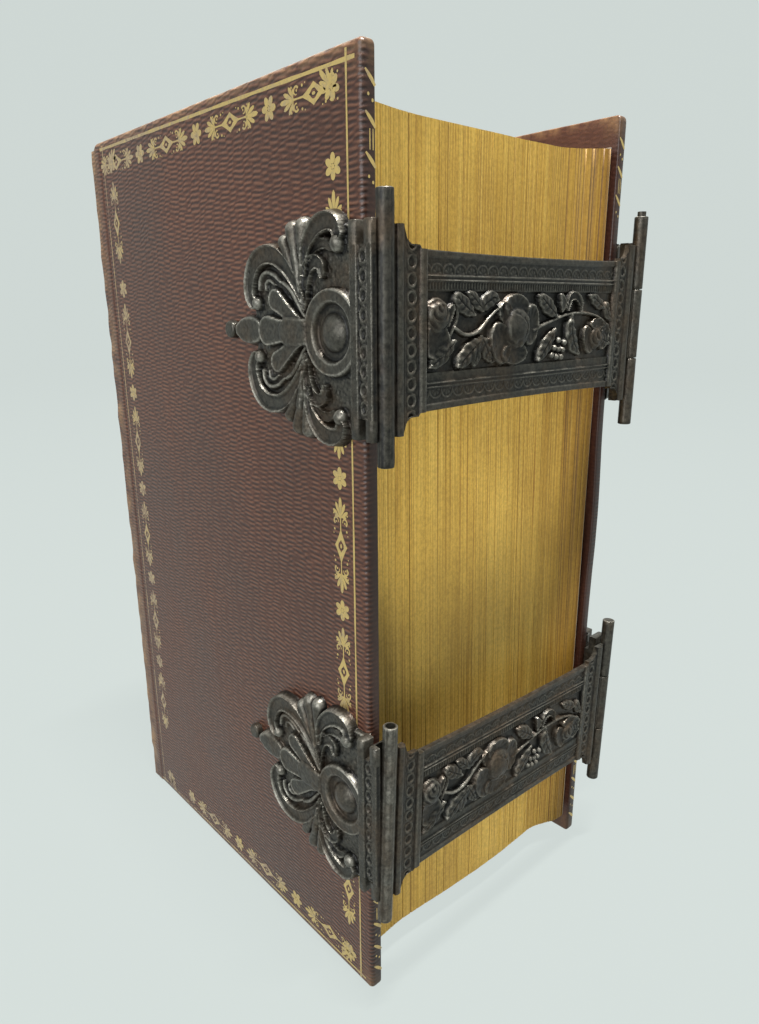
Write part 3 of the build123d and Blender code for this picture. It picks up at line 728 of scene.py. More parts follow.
def leaf_lean(across: np.ndarray, back: np.ndarray) -> np.ndarray:
    """How far the last leaves lean away from the back board near the fore-edge.

    Formula: 1.7 mm at the last leaf's tip, falling with the square of the distance back and of the
    distance from the last leaf.

    Args:
        across: X of the leaf.
        back: distance from the boards' fore-edge.

    Returns:
        Distance towards the middle of the book.
    """
    share = np.clip((across - 18) / 16.05, 0, 1)
    return 1.7 * share**2 * np.clip(1 - back / 46, 0, 1) ** 2


@dataclass
class Pages:
    """The sewn pages: a closed block whose cut edges show its leaves."""

    half_thickness: float = 34.05
    foot: float = 6.5
    head: float = 173.0
    leaves: int = 520
    back_radius: float = 81.457
    hollow_places: int = 25
    seed: int = 7

    def fore_edge(self, across: np.ndarray, up: np.ndarray) -> np.ndarray:
        """Depth of the hollow fore-edge.

        Formula: one curve along the tail and one along the head, each through given places and
        smoothed, and a mix of the two with height. The last leaves come forward on the back board.

        Args:
            across: X of each leaf.
            up: share of the height from tail to head.

        Returns:
            Array (leaves, heights) of Y.
        """
        tail_x = [-34.05, -31, -25, -18, -11.7, 0, 8.7, 16, 21.9, 26, 29.4, 34.05]
        tail_y = [4.3, 4.4, 4.8, 4.3, 3.7, 3.0, 2.8, 3.0, 3.2, 2.0, 0.6, 0.3]
        head_x = [-34.05, -31, -25, -19, -8, 3, 10, 18, 23, 28, 31, 34.05]
        head_y = [4.6, 4.9, 6.1, 6.7, 6.7, 6.6, 6.8, 6.4, 6.2, 4.2, 1.6, 0.0]
        mean = np.ones(self.hollow_places) / self.hollow_places
        tail, head = (
            np.convolve(np.pad(np.interp(across, x, y), self.hollow_places // 2, "edge"), mean, "valid")
            for x, y in ((tail_x, tail_y), (head_x, head_y))
        )
        share = smooth_step(-0.15, 1.1, up)[None, :]
        return tail[:, None] * (1 - share) + head[:, None] * share

    def build(self, material: bpy.types.Material) -> None:
        """Make the block as loops round each leaf, side by side.

        Formula: leaf by leaf across the block, a closed loop runs up the fore-edge, along the head, down the
        back and along the tail. Each leaf stands back by a random depth, and some stand apart with gaps
        that are darkened by painted shade through the relief value.

        Args:
            material: the gilt finish.
        """
        random = np.random.default_rng(self.seed)
        across = np.linspace(-self.half_thickness, self.half_thickness, self.leaves)
        leaf = random.random(self.leaves)
        towards_back = smooth_step(12, 27, across)
        chance = 0.05 + 0.13 * towards_back
        shaded_gap = (random.random(self.leaves) < chance) * random.uniform(0.3, 1.0, self.leaves)
        section = np.zeros(self.leaves)
        seams = np.cumsum(random.integers(14, 34, self.leaves // 24)).clip(0, self.leaves - 1)
        section[seams] = random.uniform(0.2, 0.8, len(seams))
        shaded_gap = np.maximum(shaded_gap * (0.7 + 0.5 * towards_back), section).clip(0, 1)
        shaded_gap = np.where(section > 0, np.maximum(shaded_gap, 0.75), shaded_gap)
        up = np.linspace(0, 1, 44)
        wander = 0.5 + 0.5 * np.sin(up[None, :] * random.uniform(2, 9, (self.leaves, 1)) + leaf[:, None] * 40)
        depth = 0.06 * leaf[:, None] * (0.5 + 0.5 * wander) + 0.34 * shaded_gap[:, None] * (0.45 + 0.55 * wander)
        fore = self.fore_edge(across, up) + depth
        # painted shade in the gaps on the fore-edge, handed to the gilt finish as the relief value
        dark = (shaded_gap[:, None] * (0.55 + 0.45 * wander)).clip(0, 1)
        back = SPINE_CENTRE_Y + np.sqrt(self.back_radius**2 - across**2)
        along = np.linspace(0.02, 1, 18)
        drop = 0.09 * leaf + 0.35 * shaded_gap
        head_y = fore[:, -1:] + (back[:, None] - fore[:, -1:]) * along
        tail_y = fore[:, :1] + (back[:, None] - fore[:, :1]) * along[::-1]
        loop_y = np.concatenate([fore, head_y, tail_y], axis=1)
        loop_z = np.concatenate(
            [
                np.broadcast_to(np.linspace(self.foot, self.head, len(up)), fore.shape),
                np.broadcast_to((self.head - drop)[:, None], head_y.shape),
                np.broadcast_to((self.foot + drop)[:, None], tail_y.shape),
            ],
            axis=1,
        )
        # painted shade in the gaps where they reach the head and the tail
        cut = np.broadcast_to(shaded_gap[:, None] * 0.75, head_y.shape)
        loop_x = across[:, None] - leaf_lean(across[:, None], loop_y)
        tones = np.concatenate([dark, cut, cut], axis=1)
        surface = loop_body(np.stack([loop_x, loop_y, loop_z], axis=-1), tones)
        make_piece("pages", surface, Body.BLOCK, material, ("text_block",))

    def last_flyleaf(self, material: bpy.types.Material) -> None:
        """Lay the free endpaper at the back, leaning with the last leaves.

        Args:
            material: the paper's finish.
        """
        back = np.concatenate([np.linspace(0.5, 46, 24), [70.0, 101.5]])
        inner = 34.09 - leaf_lean(np.full(back.shape, 34.05), back)
        loop_x = np.concatenate([inner, inner[::-1] + 0.3])
        loop_y = np.concatenate([back, back[::-1]])
        height = np.array([self.foot, 60.0, 120.0, self.head + 0.35])
        x = np.broadcast_to(loop_x, (len(height), len(loop_x)))
        y = np.broadcast_to(loop_y, x.shape)
        surface = loop_body(np.stack([x, y, np.broadcast_to(height[:, None], x.shape)], axis=-1))
        make_piece("last_flyleaf", surface, Body.BLOCK, material, ("back_flyleaf",))


@dataclass
class Spine:
    """Leather over the round back, raised over five cords and rolled in at head and tail."""

    joint_y: float = 102.1
    radius: float = 83.457
    thickness: float = 0.8
    half_width: float = 37.7
    cap_top: float = 178.8
    cap_width: float = 3.4
    cord_rise: float = 1.1
    band_foot: float = 6.4
    band_crown: float = 2.8
    cords: tuple[float, ...] = (33.0, 62.0, 91.0, 120.0, 149.0)

    def raised(self, height: np.ndarray) -> np.ndarray:
        """Rise of the leather over the cords at each height."""
        rise = np.zeros_like(height)
        for cord in self.cords:
            away = np.abs(height - cord)
            rise = np.maximum(rise, 1 - smooth_step(self.band_crown / 2, self.band_foot / 2, away))
        return self.cord_rise * rise

    def spread(self, radius: np.ndarray) -> np.ndarray:
        """Half angle at which a radius meets the joint or the side."""
        at_joint = np.arccos((self.joint_y - SPINE_CENTRE_Y) / radius)
        return np.minimum(at_joint, np.arcsin(self.half_width / radius))

    def build(self, material: bpy.types.Material) -> None:
        """Make the leather as a profile turned round the spine's centre.

        Formula: a closed profile in distance and height runs up the outside, over the head cap, down the
        inside and under the tail cap. Each point is turned through its own angle to the joints, near which
        the bands sink into the round.

        Args:
            material: the leather finish.
        """
        roll = np.linspace(0, math.pi, 12)[1:-1]
        half = self.thickness * 0.9
        outside_z = np.linspace(half, self.cap_top - half, 330)
        rise = self.raised(outside_z)
        cap_r = self.radius - self.cap_width / 2 + self.cap_width / 2 * np.cos(roll)
        cap_z = half * np.sin(roll)
        inside_z = np.array([self.cap_top - half - 0.1, half + 0.1])
        inside_r = np.full(2, self.radius - self.cap_width)
        radius = np.concatenate([self.radius + rise, cap_r, inside_r, cap_r[::-1]])
        height = np.concatenate([outside_z, self.cap_top - half + cap_z, inside_z, half - cap_z[::-1]])
        share = np.linspace(-1, 1, 90)[:, None]
        turn = share * self.spread(radius)[None, :]
        lift = np.concatenate([rise, np.zeros(len(radius) - len(rise))])
        radius = radius[None, :] - lift[None, :] * smooth_step(0.82, 0.985, np.abs(share))
        x, y = radius * np.sin(turn), SPINE_CENTRE_Y + radius * np.cos(turn)
        surface = loop_body(np.stack([x, y, np.broadcast_to(height, turn.shape)], axis=-1))
        make_piece("spine_cover", surface, Body.BLOCK, material, ("spine_leather",))


def warp(side: Side, back: np.ndarray, up: np.ndarray) -> np.ndarray:
    """How far the warped back board stands off its flat place.

    Formula: outwards by 0.9 mm times a squared sine between the clasps, fading with the square of the
    distance from the fore-edge. The front board is flat.

    Args:
        side: which cover.
        back: distance from the boards' fore-edge.
        up: height.

    Returns:
        Distance outwards.
    """
    if side is Side.FRONT:
        return np.zeros_like(back)
    share = np.clip(1 - back / 48, 0, 1) ** 2
    return 0.9 * np.sin(math.pi * np.clip((up - 62) / 56, 0, 1)) ** 2 * share


@dataclass
class Slab:
    """Flat body with rounded rims and corners, such as a leather-covered board."""

    side: Side
    inner: float
    outer: float
    inset: float = 0.0
    fore_corner: float = 1.2
    joint_corner: float = 2.4
    outer_round: float = 1.0
    inner_round: float = 0.4
    ragged: float = 0.0
    seed: int = 21

    def outline(self, depth: float, count: int) -> np.ndarray:
        """Rounded rectangle, set in by a depth.

        Formula: the four sides in order, evenly spread, with each corner's quarter circle of its own radius.

        Args:
            depth: how far it lies inside the full outline.
            count: places on each long side.

        Returns:
            Array of distances from the fore-edge and heights.
        """
        low = self.inset + depth
        right, top = BOARD_WIDTH - self.inset - depth, BOOK_HEIGHT - self.inset - depth
        quarter = np.linspace(0, math.pi / 2, 9)
        corners = (
            (right, low, -math.pi / 2, self.joint_corner),
            (right, top, 0.0, self.joint_corner),
            (low, top, math.pi / 2, self.fore_corner),
            (low, low, math.pi, self.fore_corner),
        )
        arcs = []
        for x, y, turn, radius in corners:
            radius = max(radius - depth, 0.02)
            centre_x = x - radius if x == right else x + radius
            centre_y = y + radius if y == low else y - radius
            angle = turn + quarter
            arcs.append(np.stack([centre_x + radius * np.cos(angle), centre_y + radius * np.sin(angle)], 1))
        places = []
        for number, arc in enumerate(arcs):
            onward = arcs[(number + 1) % 4]
            share = np.linspace(0, 1, (count if number % 2 == 0 else count // 2) + 2)[1:-1, None]
            places += [arc, arc[-1] * (1 - share) + onward[0] * share]
        return np.concatenate(places)

    def build(self) -> Surface:
        """Make the body.

        Formula: outlines of growing depth on the inner face, round the rim, and of shrinking depth on the
        outer face, each moved by the board's warp; a slow noise makes the rim ragged.

        Returns:
            The closed surface.
        """
        rounds_in, rounds_out = [], []
        for angle in np.linspace(0, math.pi / 2, 6):
            sink, reach = 1 - math.sin(angle), 1 - math.cos(angle)
            rounds_in.append((self.inner_round * sink, self.inner + self.inner_round * reach))
            rounds_out.append((self.outer_round * reach, self.outer - self.outer_round * sink))
        middle = BOARD_WIDTH / 2 - self.inset - 1.4
        deep = (middle, *(depth for depth in (38.0, 26.0, 16.0, 9.0, 4.5, 2.2) if depth < middle - 2))
        rows = [(depth, self.inner) for depth in deep] + rounds_in + rounds_out
        rows += [(depth, self.outer) for depth in deep[::-1]]
        flat = np.stack([self.outline(depth, 96) for depth, _ in rows])
        random = np.random.default_rng(self.seed)
        wear = random.normal(0, 1, flat.shape[1])
        wear = np.convolve(np.concatenate([wear[-4:], wear, wear[:4]]), np.hanning(9) / 2, "valid")
        centre = np.array([BOARD_WIDTH / 2, BOOK_HEIGHT / 2])
        towards = centre - flat[len(deep) + len(rounds_in)]
        towards /= np.linalg.norm(towards, axis=1, keepdims=True)
        near_rim = np.array([max(0.0, 1 - depth / 3) for depth, _ in rows])[:, None, None]
        flat = flat + near_rim * (self.ragged * np.clip(wear, 0, 2))[None, :, None] * towards[None]
        out = np.array([out for _, out in rows])[:, None] + warp(self.side, flat[..., 0], flat[..., 1])
        return loop_body(np.stack([self.side.value * out, flat[..., 0], flat[..., 1]], axis=-1))


@dataclass
class Cover:
    """One cover: millboard inside its leather, and the pastedown on the inside."""

    side: Side
    inner: float = 34.95
    turn_in: float = 11.0

    def build(
        self,
        leather: bpy.types.Material,
        board: bpy.types.Material,
        paper: bpy.types.Material,
    ) -> None:
        """Make the cover's pieces.

        Args:
            leather: the leather's finish.
            board: the millboard's finish.
            paper: the pastedown's finish.
        """
        name, body = self.side.label, self.side.cover
        outside = Slab(self.side, self.inner, HALF_THICKNESS, ragged=0.035, seed=21 + self.side.value)
        stands_for = (f"{name}_leather",)
        make_piece(f"{name}_cover_leather", outside.build(), body, leather, stands_for)
        core = Slab(self.side, self.inner + 0.5, HALF_THICKNESS - 0.7, 0.8, outer_round=0.3, inner_round=0.3)
        make_piece(f"{name}_millboard", core.build(), body, board, (f"{name}_board",))
        sheet = Slab(self.side, self.inner - 0.06, self.inner + 0.3, self.turn_in, 0.2, 0.2, 0.05, 0.02)
        make_piece(f"{name}_endpaper", sheet.build(), body, paper, (f"{name}_pastedown",))


@dataclass
class JointLeather:
    """Strip of leather that runs from a board over the joint to the spine."""

    side: Side
    spine: Spine
    start_y: float = 97.2
    bend: Pair = (101.2, 102.8)
    skin: float = 0.16
    seed: int = 3

    def build(self, material: bpy.types.Material) -> None:
        """Make the strip.

        Formula: a line in plan follows the board's outside and then the spine's round; a second line lies
        under it, and the closed loop of both is carried up the book with a small waviness.

        Args:
            material: the leather finish.
        """
        random = np.random.default_rng(self.seed + self.side.value)
        spread = math.asin(self.spine.half_width / self.spine.radius)
        turn = np.linspace(spread * 0.985, spread * 0.80, 8)
        round_x = (self.spine.radius + self.skin) * np.sin(turn)
        round_y = SPINE_CENTRE_Y + (self.spine.radius + self.skin) * np.cos(turn)
        plan_x = np.concatenate([[HALF_THICKNESS - 0.02] + [HALF_THICKNESS + self.skin] * 8, round_x])
        plan_y = np.concatenate([[self.start_y], np.linspace(self.start_y + 0.6, 102.2, 8), round_y])
        height = np.linspace(0.7, 178.4, 260)
        knots = random.normal(0, 1, 66)
        wave = np.interp(np.linspace(0, 65, len(height)), np.arange(66), knots)
        lift = 0.10 * wave[:, None] * np.exp(-(((plan_y - 101.6) / 1.4) ** 2))[None, :]
        outer_x = plan_x[None, :] + np.clip(lift, -0.1, 0.25)
        outer_y = np.broadcast_to(plan_y, outer_x.shape) + 0.5 * lift
        inner_x = np.broadcast_to(plan_x - self.skin - 0.1, outer_x.shape)[:, ::-1]
        inner_y = np.broadcast_to(plan_y - 0.02, outer_x.shape)[:, ::-1]
        x = self.side.value * np.concatenate([outer_x, inner_x], axis=1)
        y = np.concatenate([outer_y, inner_y], axis=1)
        surface = loop_body(np.stack([x, y, np.broadcast_to(height[:, None], x.shape)], axis=-1))
        piece = make_piece(f"{self.side.label}_joint", surface, None, material)
        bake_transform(piece)


# Gold tooling


class Tooling:
    """Flat gold shapes on a cover, gathered as polygons in the cover's own plane."""

    def __init__(self) -> None:
        """Start with no shapes."""
        self.points: list[np.ndarray] = []
        self.quads: list[np.ndarray] = []
        self.polygons: list[list[int]] = []
        self.depths: list[np.ndarray] = []
        self.count = 0

    def settle(self, grid: np.ndarray) -> None:
        """Keep a shape's points, each shape a little higher than the one before, so that none touch."""
        level = 0.008 + 0.003 * (len(self.points) % 11)
        self.depths.append(np.full(len(grid), level))
        self.points.append(grid)
        self.count += len(grid)

    def add_polygon(self, outline: np.ndarray) -> None:
        """Add one filled outline, given as an array of places."""
        self.polygons.append(list(range(self.count, self.count + len(outline))))
        self.settle(outline)

    def add_strip(self, first: np.ndarray, second: np.ndarray, closed: bool = False) -> None:
        """Add the strip between two lines of equal length."""
        rows = len(first)
        grid = np.stack([first, second], axis=1).reshape(-1, 2)
        self.quads.append(grid_quads(rows, 2, wrap_rows=closed) + self.count)
        self.settle(grid)

    def surface(self) -> tuple[np.ndarray, np.ndarray, np.ndarray, list[list[int]]]:
        """All points, their depths, quads and polygons so far."""
        quads = np.concatenate(self.quads) if self.quads else np.zeros((0, 4), int)
        return np.concatenate(self.points), np.concatenate(self.depths), quads, self.polygons


@dataclass
class Placing:
    """Where a motif goes: its place and the direction it runs in."""

    at: Pair
    turn: float = 0.0

    def __call__(self, shape: np.ndarray) -> np.ndarray:
        """Turn and move a shape's points."""
        along, across = shape[:, 0], shape[:, 1]
        cos, sin = math.cos(self.turn), math.sin(self.turn)
        x = self.at[0] + cos * along - sin * across
        y = self.at[1] + sin * along + cos * across
        return np.stack([x, y], axis=1)


@dataclass
class RollBorder:
    """Rolled border of lozenges, curls, sprays and six-petalled flowers, with a fillet line outside it."""

    pitch: float = 25.7
    line_width: float = 0.44
    corner_room: float = 12.0
    edge_middle: float = 36.05

    def ellipse(self, at: Pair, long: float, wide: float, turn: float = 0.0) -> np.ndarray:
        """Outline of an oval: fourteen places round it."""
        angle = np.linspace(0, 2 * math.pi, 15)[:-1]
        return Placing(at, turn)(np.stack([long * np.cos(angle), wide * np.sin(angle)], axis=1))

    def lobe(self, root: Pair, turn: float, length: float, width: float) -> np.ndarray:
        """Outline of a spray's lobe: a drop that widens from its root to a round end."""
        share = np.array([0.0, 0.3, 0.62, 0.88, 1.0])
        half = width / 2 * np.array([0.22, 0.5, 1.0, 0.75, 0.0])
        side = np.stack([share * length, half], axis=1)
        other = np.stack([share[-2::-1] * length, -half[-2::-1]], axis=1)
        return Placing(root, turn)(np.vstack([side, other]))

    def ribbon(self, tooling: Tooling, place: Placing, line: np.ndarray, half: np.ndarray) -> None:
        """Add a bent stroke: its middle line widened by half its width to both sides."""
        step = np.gradient(line, axis=0)
        normal = np.stack([-step[:, 1], step[:, 0]], axis=1)
        normal /= np.maximum(np.linalg.norm(normal, axis=1, keepdims=True), 1e-9)
        offset = normal * half[:, None]
        tooling.add_strip(place(line + offset), place(line - offset))

    def lozenge(self, tooling: Tooling, place: Placing) -> None:
        """Add a lozenge with hollow sides round an eye, and the stems at its points."""
        angle = np.linspace(0, 2 * math.pi, 33)[:-1]
        reach = 1 / (np.abs(np.cos(angle)) ** 0.9 + np.abs(np.sin(angle)) ** 0.9) ** (1 / 0.9)
        outer = np.stack([3.4 * reach * np.cos(angle), 1.75 * reach * np.sin(angle)], axis=1)
        inner = np.stack([1.25 * reach * np.cos(angle), 0.78 * np.sin(angle)], axis=1)
        tooling.add_strip(place(outer), place(inner), closed=True)
        tooling.add_polygon(place(self.ellipse((0, 0), 0.46, 0.26)))
        for end in (1, -1):
            stem = np.array([[3.1 * end, 0], [4.4 * end, 0], [5.8 * end, 0]])
            self.ribbon(tooling, place, stem, np.array([0.16, 0.13, 0.2]))

    def curls(self, tooling: Tooling, place: Placing) -> None:
        """Add the curls and dots on both sides of the stems."""
        angle = np.linspace(-0.6 * math.pi, 0.85 * math.pi, 10)
        for end in (1, -1):
            for side in (1, -1):
                centre = np.array([4.75 * end, 1.25 * side])
                arc = np.stack([end * 0.62 * np.cos(angle), side * 0.62 * np.sin(angle)], axis=1)
                self.ribbon(tooling, place, centre + arc, np.linspace(0.1, 0.2, 10))
                for x, y, size in ((4.6, 1.25, 0.2), (3.1, 1.75, 0.24), (6.1, 1.9, 0.2), (2.3, 2.0, 0.14)):
                    tooling.add_polygon(place(self.ellipse((x * end, y * side), size, size)))

    def spray(self, tooling: Tooling, place: Placing) -> None:
        """Add a spray of seven lobes that fans out from its root."""
        lobes = ((0, 4.0, 0.95), (0.42, 3.2, 0.8), (-0.42, 3.2, 0.8), (0.95, 2.6, 0.75), (-0.95, 2.6, 0.75))
        for turn, length, width in lobes:
            tooling.add_polygon(place(self.lobe((0.1, 0), turn, length, width)))
        for turn in (1.6, -1.6):
            tooling.add_polygon(place(self.lobe((0.4, 0), turn, 1.7, 0.6)))

    def flower(self, tooling: Tooling, place: Placing) -> None:
        """Add a flower of six petals round a dot."""
        for number in range(6):
            turn = number * math.pi / 3
            centre = (1.25 * math.cos(turn), 1.25 * math.sin(turn))
            tooling.add_polygon(place(self.ellipse(centre, 0.86, 0.60, turn)))
        tooling.add_polygon(place(self.ellipse((0, 0), 0.40, 0.40)))

    def unit(self, tooling: Tooling, place: Placing, ends: tuple[int, ...]) -> None:
        """Add one repeat: a lozenge, its curls, and a spray at each end that has room."""
        self.lozenge(tooling, place)
        self.curls(tooling, place)
        for end in ends:
            root = place(np.array([[5.3 * end, 0]]))[0]
            self.spray(tooling, Placing(tuple(root), place.turn + (0 if end > 0 else math.pi)))

    def run(
        self,
        tooling: Tooling,
        start: Pair,
        turn: float,
        lozenges: tuple[float, ...],
        flowers: tuple[float, ...],
    ) -> None:
        """Add one side of the border.

        Args:
            tooling: where the shapes go.
            start: the side's first place.
            turn: its direction, in radians.
            lozenges: distances of the lozenges along it.
            flowers: distances of the flowers.
        """
        direction = np.array([math.cos(turn), math.sin(turn)])
        for along in lozenges:
            ends = (1, -1) if along > self.corner_room else (1,)
            self.unit(tooling, Placing(tuple(np.array(start) + direction * along), turn), ends)
        for along in flowers:
            self.flower(tooling, Placing(tuple(np.array(start) + direction * along), turn))

    def line(self, tooling: Tooling, start: Pair, end: Pair, width: float) -> None:
        """Add a fillet line whose width wavers a little."""
        share = np.linspace(0, 1, 90)[:, None]
        middle = np.array(start) * (1 - share) + np.array(end) * share
        half = width / 2 * (1 + 0.18 * np.sin(share[:, 0] * 61) * np.sin(share[:, 0] * 23 + 1))
        self.ribbon(tooling, Placing((0, 0)), middle, half)

    def build(self, side: Side, material: bpy.types.Material) -> None:
        """Lay the border, the fillets and the dashes of the board's edge on a cover.

        Args:
            side: which cover.
            material: the gold finish.
        """
        tooling = Tooling()
        up = math.pi / 2
        fore, joint, head, tail = 7.3, 91.5, 174.3, 4.9
        rise = tuple(21.6 + self.pitch * number for number in range(6))
        self.run(tooling, (fore, 0), up, rise, tuple(value + self.pitch / 2 for value in rise))
        fall = (30.4, 56.0, 81.6, 107.2, 132.9, 161.0)
        self.run(tooling, (joint, 0), up, fall, tuple(value + self.pitch / 2 for value in fall[:-1]))
        across = tuple(11.8 + 25.6 * number for number in range(4))
        self.run(tooling, (0, head), 0, across, tuple(value + 12.8 for value in across[:3]))
        self.run(tooling, (0, tail), 0, tuple(value + 2.6 for value in across[:3]), (27.2, 52.8, 78.4))
        corners = (((fore, head), 0.25), ((joint, head), 0.75), ((fore, tail), -0.25), ((joint, tail), -0.75))
        for at, half_turns in corners:
            self.spray(tooling, Placing(at, half_turns * math.pi))
            self.flower(tooling, Placing(at, half_turns))
        fillets = (
            ((3.62, 0.9), (3.62, 178.9), self.line_width),
            ((1.6, 177.4), (97.4, 178.1), 0.62),
            ((2.0, 1.75), (97.4, 1.75), self.line_width),
            ((95.8, 1.2), (95.8, 178.8), 0.30),
        )
        for fillet in fillets:
            self.line(tooling, *fillet)
        flat, depths, quads, polygons = tooling.surface()
        out = side.value * (HALF_THICKNESS + depths + warp(side, flat[:, 0], flat[:, 1]))
        places = np.stack([out, flat[:, 0], flat[:, 1]], axis=1)
        face = Surface(places, quads, polygons, np.zeros(len(places)))
        surface = joined([self.facing(face, np.array([side.value, 0, 0])), self.edge_dashes(side)])
        make_piece(f"{side.label}_gold_tooling", surface, side.cover, material)

    def facing(self, surface: Surface, outwards: np.ndarray) -> Surface:
        """Turn each flat face of a surface to one direction.

        Args:
            surface: flat faces.
            outwards: the direction.

        Returns:
            The surface with each face's order kept or reversed.
        """
        corners = surface.points[surface.quads]
        normal = np.cross(corners[:, 2] - corners[:, 0], corners[:, 3] - corners[:, 1])
        wrong = normal @ outwards < 0
        quads = np.where(wrong[:, None], surface.quads[:, ::-1], surface.quads)
        polygons = []
        for polygon in surface.polygons:
            ring = surface.points[np.array(polygon)]
            area = np.cross(ring, np.roll(ring, -1, axis=0)).sum(0) @ outwards
            polygons.append(polygon if area > 0 else polygon[::-1])
        return Surface(surface.points, quads, polygons, surface.relief)

    def edge_dashes(self, side: Side) -> Surface:
        """Slanting dashes, dots and short lines on the board's fore-edge near its corners.

        Args:
            side: which cover.

        Returns:
            The flat shapes, just in front of the board's edge.
        """
        tooling = Tooling()
        for top in (174.6, 168.9, 163.2, 22.3, 16.5, 10.7, 5.2):
            slant = np.array([[-1.05, 0.95], [-0.4, 0.35], [0.3, -0.35], [0.95, -1.15]])
            self.ribbon(tooling, Placing((0, top)), slant, np.array([0.16, 0.30, 0.34, 0.22]))
        for middle in (171.7, 160.2, 13.6, 8.0):
            tooling.add_polygon(self.ellipse((-0.45, middle + 0.5), 0.22, 0.26))
            tooling.add_polygon(self.ellipse((0.4, middle - 0.3), 0.22, 0.26))
        for middle in (166.0, 19.4):
            for offset in (-0.2, 0.45):
                stroke = np.array([[offset, -1.5], [offset, 0.0], [offset, 1.5]])
                self.ribbon(tooling, Placing((0, middle)), stroke, np.array([0.09, 0.12, 0.09]))
        flat, depths, quads, polygons = tooling.surface()
        x = side.value * (self.edge_middle + warp(side, np.zeros(len(flat)), flat[:, 1])) + flat[:, 0]
        places = np.stack([x, -depths, flat[:, 1]], axis=1)
        surface = Surface(places, quads, polygons, np.zeros(len(places)))
        return self.facing(surface, np.array([0, -1.0, 0]))


# Silver fittings


class Section(Enum):
    """Cross-section of a stroke: shares of its half width, and of its height at each."""

    ROUND = ((0, 0.25, 0.5, 0.7, 0.85, 0.95, 1.0, 1.15), (1, 0.97, 0.87, 0.71, 0.53, 0.33, 0.1, -0.6))
    CHANNEL = ((0, 0.55, 0.74, 0.86, 0.95, 1.0, 1.16), (0.50, 0.54, 0.78, 1.0, 0.92, 0.45, -0.6))
    PETAL = ((0, 0.6, 0.82, 0.91, 0.97, 1.0, 1.14), (0.84, 0.85, 0.93, 1.0, 0.90, 0.45, -0.6))
    LEAF = ((0, 0.07, 0.2, 0.6, 0.88, 1.0, 1.14), (0.62, 0.80, 1.0, 0.90, 0.82, 0.45, -0.5))
    FLAT = ((0, 0.8, 0.95, 1.0, 1.12), (1.0, 1.0, 0.85, 0.4, -0.6))


@dataclass
class Stroke:
    """One form of the relief: a line with a half width at each place, a height and a section."""

    path: tuple[Triple, ...]
    height: float
    section: Section = Section.ROUND
    veins: float = 0.0

    def measure(self, along: np.ndarray, across: np.ndarray) -> tuple[np.ndarray, np.ndarray, np.ndarray]:
        """Where each place lies on the stroke.

        Formula: the least distance to the line's samples, each divided by the half width there.

        Args:
            along: first coordinate of the places.
            across: second coordinate.

        Returns:
            The least ratio, the distance outside the stroke, and the share along it.
        """
        line = spline(np.array(self.path), 12 * len(self.path))
        if self.section is Section.LEAF:
            line[:, 2] *= 1.15
        line[:, 2] = np.maximum(line[:, 2], 0.05)
        away = np.hypot(along[..., None] - line[:, 0], across[..., None] - line[:, 1])
        ratio = away / line[:, 2]
        nearest = ratio.argmin(-1)
        least = np.take_along_axis(ratio, nearest[..., None], -1)[..., 0]
        outside = (least - 1) * line[nearest, 2]
        return least, outside, nearest / (len(line) - 1)


class Relief:
    """Heights over a grid of places, raised by strokes, domes and rings."""

    def __init__(self, along: np.ndarray, across: np.ndarray) -> None:
        """Start with no form.

        Args:
            along: first coordinate of each place of the grid.
            across: second coordinate of each.
        """
        self.along, self.across = along, across
        self.height = np.full(along.shape, UNSET)
        self.outside = np.full(along.shape, 9.0)

    def stroke(self, stroke: Stroke, floor: float = 0.0) -> None:
        """Raise the grid to a stroke where the stroke is higher.

        Args:
            stroke: the form.
            floor: the level that it stands on.
        """
        path = np.array(stroke.path)
        margin = path[:, 2].max() + 1.2
        reach = np.ptp(path, axis=0) / 2 + 2 * margin
        near = np.abs(self.along - path[:, 0].mean()) < reach[0]
        near &= np.abs(self.across - path[:, 1].mean()) < reach[1]
        ratio, outside, share = stroke.measure(self.along[near], self.across[near])
        places, levels = stroke.section.value
        if stroke.veins:
            ratio = ratio * (1 + 0.06 * np.cos(2 * math.pi * (0.8 * stroke.veins * share - 0.35 * ratio)))
        level = np.interp(ratio, places, levels, right=UNSET)
        if stroke.veins:
            ribs = 0.5 + 0.5 * np.cos(2 * math.pi * (stroke.veins * share - 0.55 * ratio))
            level = np.where(level > 0.2, level * (1 - 0.17 * ribs * (ratio > 0.14)), level)
        raised = np.where(level > UNSET + 1, floor + stroke.height * level, UNSET)
        self.height[near] = np.maximum(self.height[near], raised)
        self.outside[near] = np.minimum(self.outside[near], outside)

    def dome(self, at: Pair, radius: float, height: float, floor: float = 0.0) -> None:
        """Raise a round dome: the height falls as a circle's arc to the rim."""
        away = np.hypot(self.along - at[0], self.across - at[1]) / radius
        level = np.sqrt(np.clip(1 - away**2, 0, 1)) - 4.0 * np.clip(away - 1, 0, 1)
        raised = np.where(away < 1.1, floor + height * level, UNSET)
        self.height = np.maximum(self.height, raised)
        self.outside = np.minimum(self.outside, (away - 1) * radius)


